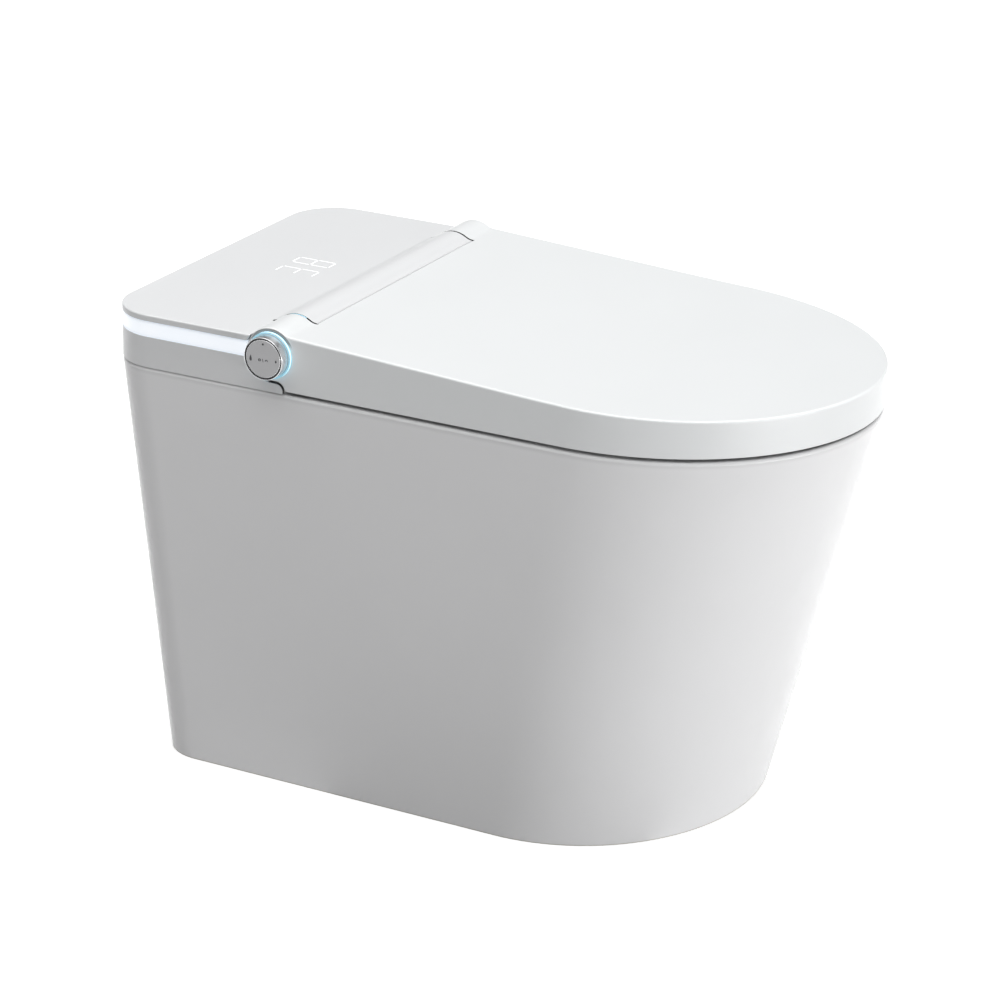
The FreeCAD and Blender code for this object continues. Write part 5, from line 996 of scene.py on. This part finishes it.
class TOILET_OT_stage(bpy.types.Operator):
    """Sets the floor, the black sheet under it, the soft lights, the surroundings and the camera"""
    bl_idname = "toilet.stage"
    bl_label = "Stage"

    def execute(self, context):
        stage = context.scene.toilet_stage
        self.make_floor(stage)
        self.make_flag(stage)
        self.make_room(context.scene, stage)
        for name, place, aim, size, power in (
                ("Top light", (0.2, -0.1, 2.4), (0.0, -0.05, 0.3), (2.6, 2.6), stage.top_power),
                ("Front light", (-0.55, -2.35, 0.14), (0.0, -0.2, 0.2), (1.8, 0.24), stage.front_power),
                ("Side light", (-1.0, 0.4, 1.0), (-0.2, 0.12, 0.3), (0.8, 0.8), stage.side_power)):
            self.make_light(name, place, aim, size, power)
        self.make_camera(context.scene, stage)
        context.scene.view_settings.view_transform = "Standard"
        return {"FINISHED"}

    def make_sheet(self, name, segments, width, length, material, place):
        work = bmesh.new()
        bmesh.ops.create_grid(work, x_segments=segments, y_segments=segments, size=0.5)
        bmesh.ops.scale(work, vec=(width, length, 1.0), verts=work.verts)
        mesh = bpy.data.meshes.new(name)
        work.to_mesh(mesh)
        work.free()
        mesh.materials.append(material)
        return moved(linked(name, mesh), Vector(place))

    def make_floor(self, stage):
        width, drop = 2 * stage.floor, 0.2 * MM
        floor = self.make_sheet("floor", 8, width, width, floor_paint(), (0.0, 0.0, -drop))
        floor.visible_diffuse = False

    def make_flag(self, stage):
        """Black sheet under the floor, which only takes light thrown up at the foot of the near wall."""
        drop = 1.0 * MM
        black = moulded_matt("Flag black", (0.02, 0.02, 0.02), 0.8)
        place = (stage.flag_place[0], stage.flag_place[1], -drop)
        flag = self.make_sheet("flag", 4, stage.flag[0], stage.flag[1], black, place)

    def make_room(self, scene, stage):
        """Pale room: bright overhead, dim at its walls and below, lit again before the bowl."""
        scene.world = bpy.data.worlds.new("Studio")
        room = Graph(scene.world)
        way = room.node("ShaderNodeTexCoord", {}, {}, "Generated")
        across = room.node("ShaderNodeSeparateXYZ", {}, {"Vector": way}, "X")
        along = room.node("ShaderNodeSeparateXYZ", {}, {"Vector": way}, "Y")
        up = room.node("ShaderNodeSeparateXYZ", {}, {"Vector": way}, "Z")
        facing = across * math.sin(stage.azimuth) - along * math.cos(stage.azimuth)
        low = room.step(facing, 0.5, 1.0, 1.0, 1.0 - stage.dim)
        # Upward shares of a direction between which one glow fades into the next
        overhead, eye_height, horizon = (0.5, 0.98), (0.15, 0.6), (-0.08, 0.02)
        lean, bounce = 0.05, 0.25
        ahead = room.step(across * lean - along, 0.0, 1.0, 0.0, stage.front)
        glow = room.step(up, *overhead) * stage.zenith
        glow = glow + (low * stage.wall + ahead) * room.step(up, *eye_height, 1.0, 0.0)
        under = low * stage.below + ahead * bounce
        glow = glow * room.step(up, *horizon) + under * room.step(up, *horizon, 1.0, 0.0)
        sky = room.node("ShaderNodeBackground", {}, {"Color": (1.0, 1.0, 1.0), "Strength": glow})
        room.node("ShaderNodeOutputWorld", {}, {"Surface": sky}, None)

    def make_light(self, name, place, aim, size, power):
        lamp = bpy.data.lights.new(name, "AREA")
        lamp.shape = "RECTANGLE"
        lamp.size, lamp.size_y = size
        lamp.energy = power
        light = bpy.data.objects.new(name, lamp)
        light.location = place
        light.rotation_euler = (Vector(aim) - Vector(place)).to_track_quat("-Z", "Y").to_euler()
        bpy.context.scene.collection.objects.link(light)

    def make_camera(self, scene, stage):
        azimuth, elevation, roll = stage.azimuth, stage.elevation, stage.roll
        back = Vector((math.sin(azimuth) * math.cos(elevation), -math.cos(azimuth) * math.cos(elevation),
                       math.sin(elevation)))
        right = Vector((math.cos(azimuth), math.sin(azimuth), 0.0))
        up = back.cross(right)
        cosine, sine = math.cos(roll), math.sin(roll)
        right, up = right * cosine + up * sine, up * cosine - right * sine
        aim = Vector(stage.aim) + right * stage.shift_right + up * stage.shift_up
        camera = bpy.data.cameras.new("Camera")
        camera.lens = stage.lens
        camera.sensor_width = 36.0
        camera.clip_end = 100.0
        view = bpy.data.objects.new("Camera", camera)
        turn = Matrix((right, up, back)).transposed().to_4x4()
        view.matrix_world = Matrix.Translation(aim + back * stage.distance) @ turn
        scene.collection.objects.link(view)
        scene.camera = view


STEPS = (
    TOILET_OT_china, TOILET_OT_lid, TOILET_OT_seat, TOILET_OT_housing, TOILET_OT_lights, TOILET_OT_knob,
    TOILET_OT_nozzles, TOILET_OT_connections, TOILET_OT_works, TOILET_OT_stage,
)


class TOILET_PT_panel(bpy.types.Panel):
    """Lists the toilet's settings and steps"""
    bl_idname = "TOILET_PT_panel"
    bl_label = "Smart Toilet"
    bl_space_type = "VIEW_3D"
    bl_region_type = "UI"
    bl_category = "Toilet"

    def draw(self, context):
        for group in (context.scene.toilet_finish, context.scene.toilet_detail, context.scene.toilet_stage):
            box = self.layout.box()
            for name in group.__annotations__:
                box.prop(group, name)
        for step in STEPS:
            self.layout.operator(step.bl_idname)


SETTINGS = {"toilet_finish": ToiletFinish, "toilet_detail": ToiletDetail, "toilet_stage": ToiletStage}


def register():
    for made in (*SETTINGS.values(), *STEPS, TOILET_PT_panel):
        bpy.utils.register_class(made)
    for name, group in SETTINGS.items():
        setattr(bpy.types.Scene, name, PointerProperty(type=group))


def unregister():
    for name in SETTINGS:
        delattr(bpy.types.Scene, name)
    for made in (TOILET_PT_panel, *reversed(STEPS), *SETTINGS.values()):
        bpy.utils.unregister_class(made)


def main():
    register()
    for step in STEPS:
        area, name = step.bl_idname.split(".")
        getattr(getattr(bpy.ops, area), name)()


if __name__ == "__main__":
    main()
